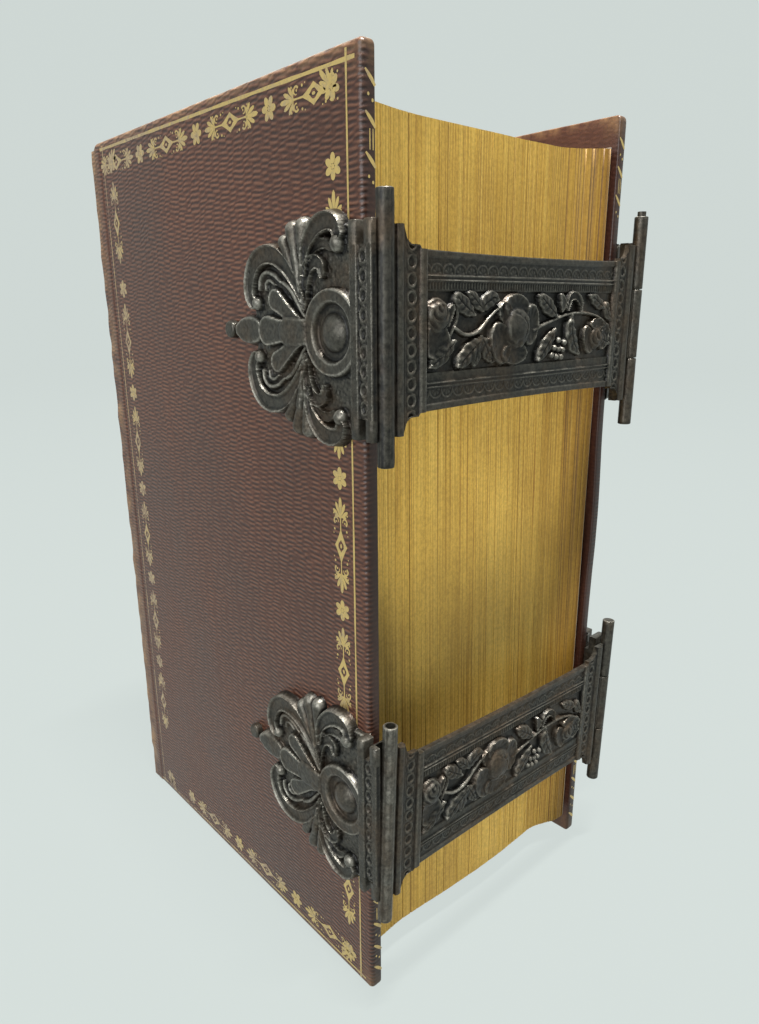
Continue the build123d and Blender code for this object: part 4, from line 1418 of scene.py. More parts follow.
# Forms on a cast plate: height over the ground, section, and for each place along the form its distance
# from the fore-edge, its height over the plate's middle line and its half width.
MIRRORED_FORMS = (
    (1.45, Section.CHANNEL, (
        (13.6, 3.9, 0.45), (14.9, 6.6, 0.85), (17.1, 9.4, 1.2), (19.8, 11.8, 1.5), (22.9, 13.2, 1.75),
        (26.3, 13.2, 1.85), (29.0, 11.7, 1.85), (30.5, 9.0, 1.75), (30.7, 6.6, 1.5), (29.9, 5.1, 1.3),
    )),
    (0.85, Section.ROUND, (
        (28.0, 7.4, 0.4), (27.6, 9.2, 0.5), (25.9, 10.3, 0.5), (23.4, 9.9, 0.5), (21.0, 8.5, 0.4),
    )),
    (0.6, Section.ROUND, ((26.2, 7.4, 0.35), (26.0, 8.5, 0.4), (24.8, 8.9, 0.4), (23.2, 8.1, 0.3))),
    (1.4, Section.CHANNEL, (
        (13.7, 9.8, 0.6), (13.3, 12.8, 1.0), (12.1, 15.1, 1.5), (9.9, 17.0, 1.75), (7.3, 17.7, 1.65),
        (5.2, 17.1, 1.4), (4.3, 15.6, 1.15),
    )),
    (1.15, Section.CHANNEL, (
        (13.9, 4.2, 0.6), (13.8, 7.6, 1.1), (12.9, 10.4, 1.45), (10.9, 11.6, 1.3), (9.2, 10.9, 1.05),
        (8.9, 9.4, 0.7),
    )),
    (1.0, Section.CHANNEL, ((12.4, 12.2, 0.6), (10.6, 13.9, 1.0), (8.2, 14.3, 0.9), (6.4, 13.4, 0.5))),
    (1.3, Section.ROUND, ((15.8, 11.8, 0.6), (16.7, 14.4, 1.24), (17.6, 17.0, 1.55))),
    (1.3, Section.ROUND, ((14.4, 12.3, 0.6), (14.55, 14.85, 1.16), (14.7, 17.4, 1.45))),
    (1.3, Section.ROUND, ((16.6, 10.2, 0.6), (18.3, 12.7, 1.04), (20.0, 15.2, 1.3))),
    (1.3, Section.ROUND, ((15.0, 7.0, 0.6), (15.75, 10.1, 1.0), (16.5, 13.2, 1.25))),
    (1.35, Section.PETAL, ((14.0, 0.8, 1.2), (17.0, 2.2, 1.3), (20.0, 4.1, 1.6), (22.4, 5.5, 2.0))),
    (0.9, Section.ROUND, ((14.2, 2.6, 0.5), (16.2, 5.0, 0.55), (18.2, 7.2, 0.6), (20.3, 8.4, 0.45))),
)
MIDDLE_FORMS = (
    (1.55, Section.PETAL, ((14.0, 0, 1.5), (17.2, 0, 1.6), (20.9, 0, 2.1), (25.0, 0, 2.8))),
    (1.5, Section.FLAT, ((12.6, 0, 2.3), (15.6, 0, 2.5), (18.8, 0, 2.7))),
    (0.95, Section.FLAT, ((35.6, 0, 1.3), (33.8, 0, 2.3), (31.8, 0, 2.6), (29.9, 0, 2.3))),
)


@dataclass
class ScrollPlate:
    """Cast plate on a cover: volutes, buds, a trefoil, a boss, and the strip at the board's edge."""

    side: Side
    level: float
    name: str
    node: str
    cell: float = 0.19
    ground: float = 0.9
    floor: float = -0.35
    boss_at: float = 6.45
    boss_radius: float = 3.3
    wall: float = 0.28
    strip_half: float = 17.2
    strip_middle_half: float = 13.55
    front_lip: float = 1.55

    def strokes(self) -> list[Stroke]:
        """The plate's forms: each of one half on both sides of the middle line, and those on it."""
        mirrored = [
            Stroke(tuple((a, up * v, w) for a, v, w in points), height, section)
            for up in (1, -1)
            for height, section, points in MIRRORED_FORMS
        ]
        return mirrored + [Stroke(points, height, section) for height, section, points in MIDDLE_FORMS]

    def casting(self) -> Relief:
        """Work out the casting's heights over the leather.

        Formula: the highest of all the forms and the pitted ground, which falls away to below the leather
        a quarter millimetre outside the outline.

        Returns:
            The relief on its grid.
        """
        rows = np.arange(-0.2, 37.2, self.cell)
        columns = np.arange(-20.2, 20.2 + self.cell, self.cell)
        relief = Relief(*np.meshgrid(rows, columns, indexing="ij"))
        a, v = relief.along, relief.across
        for stroke in self.strokes():
            relief.stroke(stroke, self.ground)
        for up in (1, -1):
            relief.dome((4.9, up * 14.1), 1.6, 1.7, self.ground)
            relief.dome((28.9, up * 4.9), 1.35, 1.6, self.ground)
        away = np.hypot(a - self.boss_at, v)
        ring_places = (4.5, 5.0, 5.25, 6.7, 6.95, 7.2, 7.4, 7.6)
        ring = np.interp(away, ring_places, (0.1, 1.0, 1.22, 1.22, 1.45, 1.25, 0.5, -0.5))
        dome = 0.1 + 1.5 * np.sqrt(np.clip(1 - (away / self.boss_radius) ** 2, 0, 1)) ** 1.4
        trough = np.where(away < ring_places[0], 0.1, ring)
        boss = self.ground + np.where(away < self.boss_radius, dome, trough)
        beside = np.where(away < 7.1, UNSET, relief.height)
        relief.height = np.where(away < 7.5, np.maximum(boss, beside), relief.height)
        grown = relief.outside - 0.12
        webs = [
            np.maximum(np.abs(a - 6.3) - 6.9, np.abs(v) - 15.0),
            np.maximum(np.abs(a - 2.4) - 2.8, np.abs(v) - 16.6) - 0.3,
            np.hypot((a - 15.0) / 3.6, (np.abs(v) - 7.5) / 6.5) * 3.6 - 3.6,
            np.hypot((a - 24.2) / 6.2, (np.abs(v) - 7.6) / 4.4) * 4.4 - 4.4,
            np.maximum(np.abs(a - 21.0) - 9.5, np.abs(v) - 4.6),
            away - 7.2,
        ]
        for web in webs:
            grown = np.minimum(grown, web)
        pits = 0.42 * box_blur(np.random.default_rng(31).normal(0, 1, a.shape), 1)
        bare = relief.height < UNSET + 1
        base = self.ground + 0.34 * np.clip(pits, -0.6, 0.35)
        ground = np.clip(base - 1.3 * np.clip(grown, 0, 9) / self.wall, self.floor, None)
        relief.height = np.where(bare, ground, np.maximum(relief.height + 0.10 * pits, ground))
        relief.height = np.where(grown > self.wall + 0.01, self.floor, relief.height)
        return relief

    def placed(self, a: np.ndarray, v: np.ndarray, out: np.ndarray) -> np.ndarray:
        """Places of the plate on its cover, from distance, height and depth."""
        x = self.side.value * (HALF_THICKNESS + out)
        return np.stack(np.broadcast_arrays(x, a, self.level + v), axis=-1)

    def sheet(self) -> Surface:
        """The casting as a closed surface: only the cells that show, and a floor under them.

        Returns:
            The closed surface.
        """
        relief = self.casting()
        rows, columns = relief.height.shape
        quads = grid_quads(rows, columns)
        height = relief.height.reshape(-1)
        shown = (height[quads] > self.floor + 0.04).any(axis=1)
        quads = quads[shown]
        used, numbers = np.unique(quads, return_inverse=True)
        quads = numbers.reshape(-1, 4)
        points = self.placed(relief.along.reshape(-1)[used], relief.across.reshape(-1)[used], height[used])
        tone = (relief_tone(relief.height) - 0.05).reshape(-1)[used]
        edges = np.concatenate([quads[:, [0, 1]], quads[:, [1, 2]], quads[:, [2, 3]], quads[:, [3, 0]]])
        keys = np.sort(edges, axis=1)
        _, place, count = np.unique(keys, axis=0, return_index=True, return_counts=True)
        rim = edges[place[count == 1]]
        points[np.unique(rim), 0] = self.side.value * (HALF_THICKNESS + self.floor)
        polygons = [loop[::-1] for loop in self.loops(rim)]
        surface = Surface(points, quads, polygons, tone)
        corners = points[quads]
        normal = np.cross(corners[:, 2] - corners[:, 0], corners[:, 3] - corners[:, 1])
        return surface if normal[:, 0].sum() * self.side.value > 0 else surface.reversed()

    def loops(self, rim: np.ndarray) -> list[list[int]]:
        """Follow rim edges to closed loops.

        Args:
            rim: pairs of point numbers, each in its face's own direction.

        Returns:
            Each loop's point numbers in order.
        """
        following: dict[int, list[int]] = {}
        for start, end in rim.tolist():
            following.setdefault(start, []).append(end)
        loops = []
        while following:
            first = current = next(iter(following))
            loop = []
            while not loop or current != first:
                loop.append(current)
                onward = following[current].pop()
                if not following[current]:
                    del following[current]
                current = onward
            loops.append(loop)
        return loops

    def strip(self) -> Surface:
        """The strip over the board's edge: two ribs, a chain between them, a bar under it and slit ends.

        Formula: its profile runs from the plate over the board's edge, and on the front cover further, over
        the catch tube. On the back cover it starts further back by that lip, and so ends at the edge.

        Returns:
            The closed surfaces of its middle and its four prongs.
        """
        shift = 0.0 if self.side is Side.FRONT else self.front_lip
        start, end, edge, inside = 0.7, -4.85, -3.29, -0.25
        up = np.linspace(-self.strip_middle_half, self.strip_middle_half, 150)
        grid_a, grid_v = np.meshgrid(np.linspace(start, end, 46) + shift, up, indexing="xy")
        from_start = grid_a - shift
        turns = (-0.7, -0.5, 1.1, 1.3, 3.35, 3.55, 4.65, 4.85)
        top = np.interp(-from_start, turns, (2.2, 2.7, 2.7, 2.25, 2.25, 2.7, 2.7, 2.35))
        chain = chain_relief(from_start + 2.3, grid_v, 2.95, 1.0)
        top = top + np.where((from_start < -1.3) & (from_start > -3.3), chain, 0)
        top = top + 0.025 * np.random.default_rng(41).normal(0, 1, top.shape)
        tone = relief_tone(top) - 0.10
        under_a = np.array([end + shift, edge, edge, inside, inside, start + shift])
        under_out = np.array([1.65, 1.65, -1.6, -1.6, 0.02, 0.02])
        under_shape = (len(up), len(under_a))
        loop_a = np.concatenate([grid_a, np.broadcast_to(under_a, under_shape)], axis=1)
        loop_out = np.concatenate([top, np.broadcast_to(under_out, under_shape)], axis=1)
        tones = np.concatenate([tone, np.full(under_shape, -0.10)], axis=1)
        parts = [loop_body(self.placed(loop_a, np.broadcast_to(up[:, None], loop_a.shape), loop_out), tones)]
        inner = (np.array([start, 0.5, -1.0, -1.2, -1.2, start]) + shift, (2.2, 2.7, 2.7, 2.4, 0.02, 0.02))
        outer = (
            np.array([-2.9, -3.1, -4.65, end, end, edge - shift, edge - shift, -2.9]) + shift,
            (2.4, 2.7, 2.7, 2.35, 1.65, 1.65, -1.6, -1.6),
        )
        shrink = np.array([0, 0, 0, 0.12])[:, None]
        for profile_a, profile_out in (inner, outer):
            middle = profile_a.mean()
            loop_a = middle + (profile_a[None, :] - middle) * (1 - shrink)
            loop_out = np.array(profile_out) - shrink
            for side in (1, -1):
                reach = side * np.array([13.5, 15.0, self.strip_half - 0.15, self.strip_half])
                height = np.broadcast_to(reach[:, None], loop_a.shape)
                parts.append(loop_body(self.placed(loop_a, height, loop_out)))
        return joined(parts)

    def build(self, material: bpy.types.Material, extra: list[Surface]) -> None:
        """Make the plate with its strip, and any knuckles that belong to it.

        Args:
            material: the silver finish.
            extra: closed surfaces that are part of the same casting.
        """
        surface = joined([self.sheet(), self.strip(), *extra])
        make_piece(self.name, surface, self.side.cover, material, (self.node,), SILVER_SHARP)


def chain_relief(across: np.ndarray, along: np.ndarray, pitch: float, reach: float) -> np.ndarray:
    """Chain of oval rings joined by slanting links.

    Formula: each ring is a bell of the distance to an oval, sunk inside it; each link is a bell of the
    distance to a slanting line midway between two rings.

    Args:
        across: distance from the chain's middle line.
        along: distance along it.
        pitch: from ring to ring.
        reach: the rings' half width.

    Returns:
        Height, about -0.25 to 0.2.
    """
    local = (along / pitch - np.round(along / pitch)) * pitch
    ring = np.hypot(across / reach, local / (0.47 * pitch))
    rim = np.exp(-(((ring - 0.80) / 0.16) ** 2))
    eye = 1 - smooth_step(0.38, 0.62, ring)
    between = (along / pitch - np.floor(along / pitch) - 0.5) * pitch
    link = np.exp(-(((between - 0.5 * across) / 0.17) ** 2)) * (np.abs(across) < 0.85 * reach)
    return 0.20 * np.maximum(rim, 0.85 * link) - 0.24 * eye


@dataclass
class ClaspPlace:
    """Where a strap hangs: the height of its middle, and how far it is turned in its own plane."""

    height: float
    tilt_degrees: float = 0.0
    setback: float = 5.0

    def placed(self, along: np.ndarray, up: np.ndarray, out: np.ndarray) -> np.ndarray:
        """Places in the book's own millimetres, from the strap's length, height and depth."""
        tilt = math.radians(self.tilt_degrees)
        along, up, out = np.broadcast_arrays(along, up, out)
        x = along * math.cos(tilt) + up * math.sin(tilt)
        z = self.height - along * math.sin(tilt) + up * math.cos(tilt)
        return np.stack([x, -self.setback - out, z], axis=-1)


@dataclass
class Knuckle:
    """Piece of the hinge's barrel or of a tube: a round wall with softened ends."""

    centre: float
    foot: float
    head: float
    radius: float = 1.45
    bore: float = 0.94
    dents: float = 0.02
    seed: int = 1
    # tone offset of the wall; on the catch tubes it is painted light and shade, darker on the upper tube and
    # lighter on the lower
    shade: float = -0.06

    def build(self, place: ClaspPlace) -> Surface:
        """Make the wall.

        Formula: a closed profile, up the outside and down the bore, is turned round the axis; the outside
        wavers by a few hundredths.

        Args:
            place: where the strap hangs.

        Returns:
            The closed surface.
        """
        random = np.random.default_rng(self.seed)
        rows = np.linspace(self.foot + 0.18, self.head - 0.18, max(4, int((self.head - self.foot) / 0.6)))
        up = np.concatenate([[self.foot, self.foot + 0.05], rows, [self.head - 0.05, self.head]])
        edge = self.radius - 0.16
        softened = [edge - 0.05, edge + 0.08]
        radius = np.concatenate([softened, np.full(len(rows), self.radius), softened[::-1]])
        turn = np.linspace(0, 2 * math.pi, 41)[:-1]
        outside = np.broadcast_to(radius[:, None], (len(up), len(turn))).copy()
        knots = random.normal(0, self.dents, (len(up), 8))
        knots = np.concatenate([knots, knots[:, :1]], axis=1)
        knot_turn = np.linspace(0, 2 * math.pi, knots.shape[1])
        waver = np.stack([np.interp(turn, knot_turn, row) for row in knots])
        outside[2:-2] += np.minimum(box_blur(waver, 1)[2:-2], 0)
        walls = np.concatenate([outside, np.full((2, len(turn)), self.bore)], axis=0)
        heights = np.concatenate([up, [self.head, self.foot]])[:, None]
        along = self.centre + walls * np.cos(turn)
        out = walls * np.sin(turn)
        tone = np.zeros(walls.shape)
        tone[[0, 1, len(up) - 2, len(up) - 1]] = 0.55
        streaks = random.normal(0, 0.13, walls.shape[1])[None, :]
        tone[2:-4] += self.shade + streaks + random.normal(0, 0.06, tone[2:-4].shape)
        return loop_body(place.placed(along, np.broadcast_to(heights, walls.shape), out), tone, ring=True)


def web_box(place: ClaspPlace, along: Pair, up: Pair, out: Pair) -> Surface:
    """Closed block between three pairs of limits in the strap's own directions."""
    loop_along = np.array([along[0], along[1], along[1], along[0]])
    loop_out = np.array([out[0], out[0], out[1], out[1]])
    return loop_body(place.placed(loop_along[None, :], np.array(up)[:, None], loop_out[None, :]))


# Strap forms: height, then section or count of veins, and for each place along the form its length
# and height on the strap and its half width.
STEMS = (
    (1.0, Section.ROUND, (
        (-21.8, 0.6, 0.42), (-19.0, -0.6, 0.45), (-15.6, -0.1, 0.45), (-12.6, 2.3, 0.42), (-9.5, 4.2, 0.35),
    )),
    (0.7, Section.ROUND, ((-23.0, -1.0, 0.35), (-21.0, 2.5, 0.35), (-21.9, 5.6, 0.3))),
    (1.1, Section.ROUND, (
        (0.6, -0.3, 0.42), (6.0, 1.2, 0.42), (12.0, 2.5, 0.42), (18.0, 2.6, 0.42), (23.5, 1.6, 0.4),
        (27.6, -0.9, 0.4),
    )),
    (1.1, Section.PETAL, ((9.6, 3.1, 0.3), (10.0, 4.6, 0.95), (9.3, 5.9, 0.5))),
    (1.3, Section.CHANNEL, (
        (11.4, 3.6, 0.5), (12.2, 5.6, 0.75), (14.0, 6.0, 0.85), (15.8, 4.8, 0.75), (16.3, 3.4, 0.4),
    )),
)
LEAVES = (
    (1.15, 5, ((-16.9, 2.7, 0.3), (-19.0, 4.0, 1.25), (-20.8, 5.2, 1.15), (-21.9, 6.1, 0.15))),
    (1.05, 4, ((-14.6, 3.4, 0.3), (-16.3, 4.9, 1.0), (-17.6, 5.9, 0.8), (-18.6, 6.4, 0.1))),
    (1.1, 4, ((-15.2, 3.7, 0.3), (-13.4, 4.9, 1.25), (-11.7, 5.6, 1.05), (-10.2, 5.2, 0.1))),
    (1.2, 5, ((-21.9, -1.6, 0.3), (-24.2, -3.2, 1.35), (-26.3, -4.6, 1.2), (-28.2, -5.7, 0.15))),
    (1.25, 5, ((-15.0, -1.6, 0.3), (-17.2, -3.1, 1.5), (-19.4, -4.7, 1.35), (-21.2, -6.0, 0.15))),
    (1.05, 4, ((-15.2, -1.2, 0.3), (-15.9, -3.3, 1.3), (-16.3, -4.9, 1.05), (-16.6, -6.1, 0.1))),
    (1.1, 4, ((-14.9, -1.0, 0.3), (-13.6, -2.8, 1.2), (-12.7, -4.3, 1.0), (-12.2, -5.6, 0.1))),
    (1.2, 5, ((7.8, 2.2, 0.3), (5.6, 3.7, 1.35), (3.6, 5.0, 1.2), (1.9, 6.0, 0.15))),
    (1.25, 5, ((7.5, -0.4, 0.3), (5.6, -2.6, 1.35), (3.7, -4.6, 1.2), (2.3, -6.2, 0.15))),
    (1.1, 4, ((24.9, 3.6, 0.3), (22.9, 4.6, 1.1), (21.0, 5.5, 0.85), (19.5, 6.1, 0.1))),
    (1.0, 3, ((27.9, 1.2, 0.4), (26.6, 2.7, 1.0), (26.3, 4.2, 0.6))),
    (1.35, 5, ((13.0, 2.2, 0.3), (13.0, -0.6, 1.25), (14.2, -3.4, 1.35), (16.2, -5.6, 0.15))),
    (1.15, 4, ((27.7, -3.7, 0.3), (25.6, -3.0, 1.2), (23.6, -2.6, 0.6))),
    (1.0, 3, ((27.9, -1.4, 0.3), (26.0, -0.4, 0.95), (24.2, 0.0, 0.4))),
)
# Berries: their middles.
BERRIES = (
    (9.3, -2.5), (7.9, -3.9), (9.4, -4.2), (10.8, -4.4), (7.1, -5.3), (8.7, -5.7), (10.4, -5.8), (11.3, -3.0),
)
# Open petals: middle, half length and half height, turn and height.
CUPS = (
    ((-9.4, -2.4), (2.9, 4.0), 0.35, 1.15), ((-11.9, -3.6), (1.9, 2.4), 0.5, 0.85),
    ((-5.3, -4.4), (3.9, 2.1), 0.0, 1.2), ((-4.9, 3.9), (3.7, 2.5), -0.1, 1.15),
    ((-0.3, 0.7), (2.3, 3.9), -0.1, 1.05), ((-8.1, 2.9), (1.9, 2.2), 0.5, 1.0),
    ((-26.6, -1.5), (3.4, 3.0), 0.2, 1.15), ((-29.0, 1.9), (1.0, 2.6), -0.3, 1.0),
    ((-23.4, 2.6), (0.9, 2.3), -0.5, 1.0), ((19.6, -2.7), (1.7, 3.1), 0.35, 1.1),
    ((25.6, -2.2), (1.8, 2.9), -0.3, 1.15), ((22.6, 0.4), (2.5, 1.3), 0.0, 1.2),
)
# Rose, bud and side flower: middle, radius, height, and each wrapped petal's offset and radius.
BLOOMS = (
    ((-4.8, 0.1), 3.9, 2.3, ((-0.9, 0.2, 2.6),)),
    ((-26.2, 2.6), 3.0, 1.9, ((0.1, 1.4, 0.6), (0.0, 0.9, 1.5), (0.0, 0.3, 2.4))),
    ((22.5, -2.3), 2.7, 1.7, ((0.3, 0.6, 0.8), (0.0, 0.2, 1.6), (-0.2, 0.0, 2.3))),
)
# Knobs on the rose: middle and radius.
KNOBS = (((-5.9, -1.9), 0.75), ((-4.3, -2.5), 0.8), ((-3.0, 1.6), 0.9), ((-4.4, 2.2), 0.7))


@dataclass
class Strap:
    """Clasp strap: a waisted panel with scalloped borders, chains at both ends and flowers in relief."""

    place: ClaspPlace
    body: Body
    name: str
    node: str
    half_length: float = 35.95
    panel_half: float = 30.15
    panel_height: float = 13.1
    waist: float = 0.35
    field_half: float = 6.65
    rose_top: float = 2.4
    rib_from: float = 28.6
    rib_to: float = 30.2
    bead_from: float = 33.75
    band_level: float = 0.42
    scallop_pitch: float = 2.9
    scallop_foot: float = 9.45
    cell: float = 0.18

    def spread(self, along: np.ndarray) -> np.ndarray:
        """Length in the pattern's own measure: the panel lies 0.7 mm nearer to the catch."""
        return (along + 0.7) * 1.01

    def half_height(self, along: np.ndarray) -> np.ndarray:
        """Half height of the outline: a waisted panel, a wider band, hollow shoulders, square ends."""
        away = np.abs(self.spread(along))
        panel = self.panel_height - self.waist * (1 - (away / self.panel_half) ** 2)
        step = ((away - 31.75) / 2.0).clip(0, 1)
        shoulder = 13.7 + 2.8 * (1 - np.sqrt(np.clip(1 - step**2, 0, 1)))
        outer = np.where(away > self.bead_from, 16.5, shoulder)
        return np.where(away < self.panel_half, panel, outer)

    def flowers(self, relief: Relief) -> None:
        """Raise the stems, the leaves, the berries and the flowers.

        Args:
            relief: the strap's relief, changed in place.
        """
        for height, section, points in STEMS:
            relief.stroke(Stroke(points, height, section))
        for height, veins, points in LEAVES:
            relief.stroke(Stroke(points, height, Section.LEAF, veins))
        for at in BERRIES:
            relief.dome(at, 0.72, 1.15)
        for cup in CUPS:
            self.cup(relief, *cup)
        for bloom in BLOOMS:
            relief.height = np.maximum(relief.height, self.bloom(relief.along, relief.across, *bloom))
        for at, size in KNOBS:
            relief.dome(at, size, 0.55, 1.45)

    def cup(
        self,
        relief: Relief,
        at: Pair,
        radii: Pair,
        turn: float,
        height: float,
    ) -> None:
        """Raise a petal: an oval dish with a thin lip.

        Formula: the height grows from the middle to the lip with the cube of the distance, with faint
        ribs that fan out, and falls away outside.

        Args:
            relief: the strap's relief, changed in place.
            at: the oval's middle.
            radii: its half length and half height.
            turn: its turn in radians.
            height: the lip's height.
        """
        x, t = relief.along - at[0], relief.across - at[1]
        first = (x * math.cos(turn) + t * math.sin(turn)) / radii[0]
        second = (t * math.cos(turn) - x * math.sin(turn)) / radii[1]
        away = np.hypot(first, second)
        ribs = 0.05 * np.cos(9 * np.arctan2(second, first)) * smooth_step(0.3, 0.8, away)
        dish = 0.66 + ribs + 0.34 * np.clip(away, 0, 0.94) ** 4 / 0.94**4
        level = np.where(away < 0.94, dish, dish - (away - 0.94) * 9)
        relief.height = np.where(away < 1.1, np.maximum(relief.height, height * level), relief.height)

    def bloom(
        self,
        x: np.ndarray,
        t: np.ndarray,
        at: Pair,
        radius: float,
        height: float,
        rings: tuple[Triple, ...],
    ) -> np.ndarray:
        """Height of one rounded flower with wrapped petals.

        Formula: a dome, less a furrow and more a lip along each wrapped petal's ring; both swell and fade
        round the ring.

        Args:
            x: length of each place.
            t: height of each place.
            at: the flower's middle.
            radius: its radius.
            height: its height.
            rings: offset and radius of each petal's ring.

        Returns:
            Array of heights.
        """
        dx, dt = x - at[0], t - at[1]
        away = np.hypot(dx, dt) / radius
        level = height * np.sqrt(np.clip(1 - away**2, 0, 1)) ** 0.8
        for number, (off_x, off_t, ring) in enumerate(rings):
            turn = np.arctan2(dt - off_t, dx - off_x)
            from_ring = np.hypot(dx - off_x, dt - off_t) - ring * (1 + 0.07 * np.cos(3 * turn + 1.7 * number))
            wrap = 0.55 + 0.45 * np.cos(turn * (2 + number) - 0.9 + 2.1 * number)
            level = level - 0.42 * wrap * np.exp(-((from_ring / 0.26) ** 2)) * (away < 0.97)
            level = level + 0.10 * wrap * np.exp(-(((from_ring + 0.42) / 0.22) ** 2)) * (away < 0.9)
        return np.where(away < 1.0, np.minimum(level, height), UNSET)

    def face(self, x: np.ndarray, t: np.ndarray) -> np.ndarray:
        """Height of the strap's face over its middle plane.

        Formula: rails, scallops, double rules, a reeded strip and a sunk field by the distance to the edge;
        ribs, chains and round mouldings by the distance from the ends; then the flowers over the field.

        Args:
            x: length.
            t: height.

        Returns:
            Array of heights, away from the pages.
        """
        limit = self.half_height(x)
        x = self.spread(x)
        away, rise = np.abs(x), np.abs(t)
        from_edge = limit - rise
        rail_places = (0, 0.12, 1.05, 1.3, 1.5, 3.9, 4.05, 4.3)
        level = np.interp(from_edge, rail_places, (0.45, 0.62, 0.62, 0.38, 0.34, 0.34, 0.42, 0.42))
        outwards = rise - self.scallop_foot
        scallop_x = (x / self.scallop_pitch - np.round(x / self.scallop_pitch)) * self.scallop_pitch
        from_centre = np.hypot(scallop_x, outwards)
        fan = 0.5 + 0.5 * np.cos(7 * np.arctan2(outwards, scallop_x))
        arcs = 0.20 * np.exp(-(((from_centre - 1.5) / 0.15) ** 2))
        arcs = arcs + 0.13 * fan * np.exp(-(((from_centre - 0.75) / 0.32) ** 2))
        level = level + np.where((from_edge > 1.4) & (outwards > -0.1), arcs, 0)
        level = level + 0.30 * sum(np.exp(-(((rise - place) / 0.19) ** 2)) for place in (9.05, 8.35))
        reeds = (t > 6.95) & (t < 8.0)
        level = level + np.where(reeds, 0.12 * np.cos(2 * math.pi * x / 0.75), 0)
        sunk = 1 - smooth_step(self.field_half - 0.25, self.field_half + 0.1, rise)
        level = level * (1 - sunk) + 0.1 * sunk
        relief = Relief(x, t)
        self.flowers(relief)
        level = np.where(rise < self.field_half + 0.6, np.maximum(level, 0.1 + relief.height), level)
        rib = np.interp(away, (self.rib_from, 28.75, 29.0, 29.9, 30.15, 30.3), (0, 0.9, 1.0, 1.0, 0.85, 0))
        on_rib = (away > self.rib_from) & (away < self.rib_to)
        level = np.where(on_rib, np.maximum(rib, self.band_level), level)
        chain_x = away - 32.0
        chain = chain_relief(chain_x, t, 2.75, 1.2)
        groove = 0.12 * (np.exp(-(((chain_x + 1.55) / 0.14) ** 2)) + np.exp(-(((chain_x - 1.5) / 0.14) ** 2)))
        band = (away > self.rib_to) & (away < self.bead_from)
        level = np.where(band, self.band_level + np.where(from_edge > 0.35, chain, 0.12) + groove, level)
        bead = np.sqrt(np.clip(1.15**2 - (away - 34.85) ** 2, 0, 9))
        level = np.where(away >= self.bead_from, np.maximum(bead, 0.3), level)
        return np.minimum(level, self.rose_top)

    def build(self, material: bpy.types.Material) -> None:
        """Make the strap as loops across it, with the web and knuckle at its ends.

        Args:
            material: the silver finish.
        """
        along = np.arange(-self.half_length, self.half_length + self.cell / 2, self.cell)
        even = np.linspace(-1, 1, 170)
        closer_at_ends = 0.5 * (np.sin(even * 1.25) / math.sin(1.25)) + 0.5 * even
        x, share = np.meshgrid(along, closer_at_ends, indexing="ij")
        t = share * self.half_height(x)
        front = self.face(x, t)
        tone = relief_tone(front) - 0.13 - 0.20 * (np.abs(t) < self.field_half) * (np.abs(x) < 29)
        back_t = np.linspace(1, -1, 5)[None, :] * self.half_height(along)[:, None]
        loop_t = np.concatenate([t, back_t], axis=1)
        loop_x = np.broadcast_to(along[:, None], loop_t.shape)
        loop_out = np.concatenate([front, np.full(back_t.shape, -0.5)], axis=1)
        tones = np.concatenate([tone, np.zeros(back_t.shape)], axis=1)
        parts = [loop_body(self.place.placed(loop_x, loop_t, loop_out), tones)]
        parts.append(web_box(self.place, (-36.6, -35.6), (-16.4, 16.4), (-0.5, 0.45)))
        parts.append(web_box(self.place, (35.6, 36.9), (-7.35, 7.35), (-0.5, 0.5)))
        parts.append(Knuckle(HALF_THICKNESS, -7.35, 7.35, seed=5).build(self.place))
        make_piece(self.name, joined(parts), self.body, material, (self.node,), SILVER_SHARP)


@dataclass
class Clasp:
    """One clasp: its plates, strap, catch tube and hinge knuckles."""

    name: str
    body: Body
    place: ClaspPlace
    front_level: float
    back_level: float
    seed: int
    # painted light and shade in the catch tube's tone: below zero for shade, above zero for light from below
    tube_painted_light: float

    def knuckles(self) -> list[Surface]:
        """The back plate's two outer knuckles and their webs, as closed surfaces."""
        parts = []
        for foot, head in ((7.5, 22.5), (-22.5, -7.5)):
            parts.append(Knuckle(HALF_THICKNESS, foot, head, seed=self.seed + int(foot)).build(self.place))
        for foot, head in ((7.5, 17.2), (-17.2, -7.5)):
            parts.append(web_box(self.place, (37.0, 38.5), (foot, head), (-2.4, -1.2)))
        return parts

    def build(self, silver: bpy.types.Material) -> None:
        """Make the clasp's pieces.

        Args:
            silver: the finish.
        """
        sides = ((Side.FRONT, self.front_level, []), (Side.BACK, self.back_level, self.knuckles()))
        for side, level, extra in sides:
            names = (f"{self.name}_{side.label}_scrolls", f"{self.name}_{side.label}_plate")
            ScrollPlate(side, level, *names).build(silver, extra)
        Strap(self.place, self.body, f"{self.name}_rose_strap", f"{self.name}_strap").build(silver)
        tube = Knuckle(-HALF_THICKNESS, -21.5, 21.5, bore=0.95, dents=0.05, seed=11, shade=self.tube_painted_light)
        stands_for = (f"{self.name}_catch_tube",)
        surface = tube.build(self.place)
        make_piece(f"{self.name}_rolled_tube", surface, self.body, silver, stands_for)


# Studio

WHITE = (1.0, 0.985, 0.96)
# Lamps: name, place and target in metres, two sides in metres, watts and colour.
LAMPS = (
    ("overhead_lamp", (-0.04, -0.191, 1.10), (0.0, -0.05, 0.08), (0.26, 0.02), 31.0, WHITE),
    ("left_window", (-0.92, -0.20, 0.40), (0.0, 0.0, 0.06), (0.8, 0.8), 8.8, (0.96, 0.98, 1.0)),
    ("front_fill", (0.30, -1.0, 0.70), (0.0, 0.0, 0.08), (0.8, 0.8), 0.35, WHITE),
    ("back_rim", (0.55, 0.85, 0.95), (0.0, 0.0, 0.10), (0.8, 0.8), 3.0, WHITE),
)


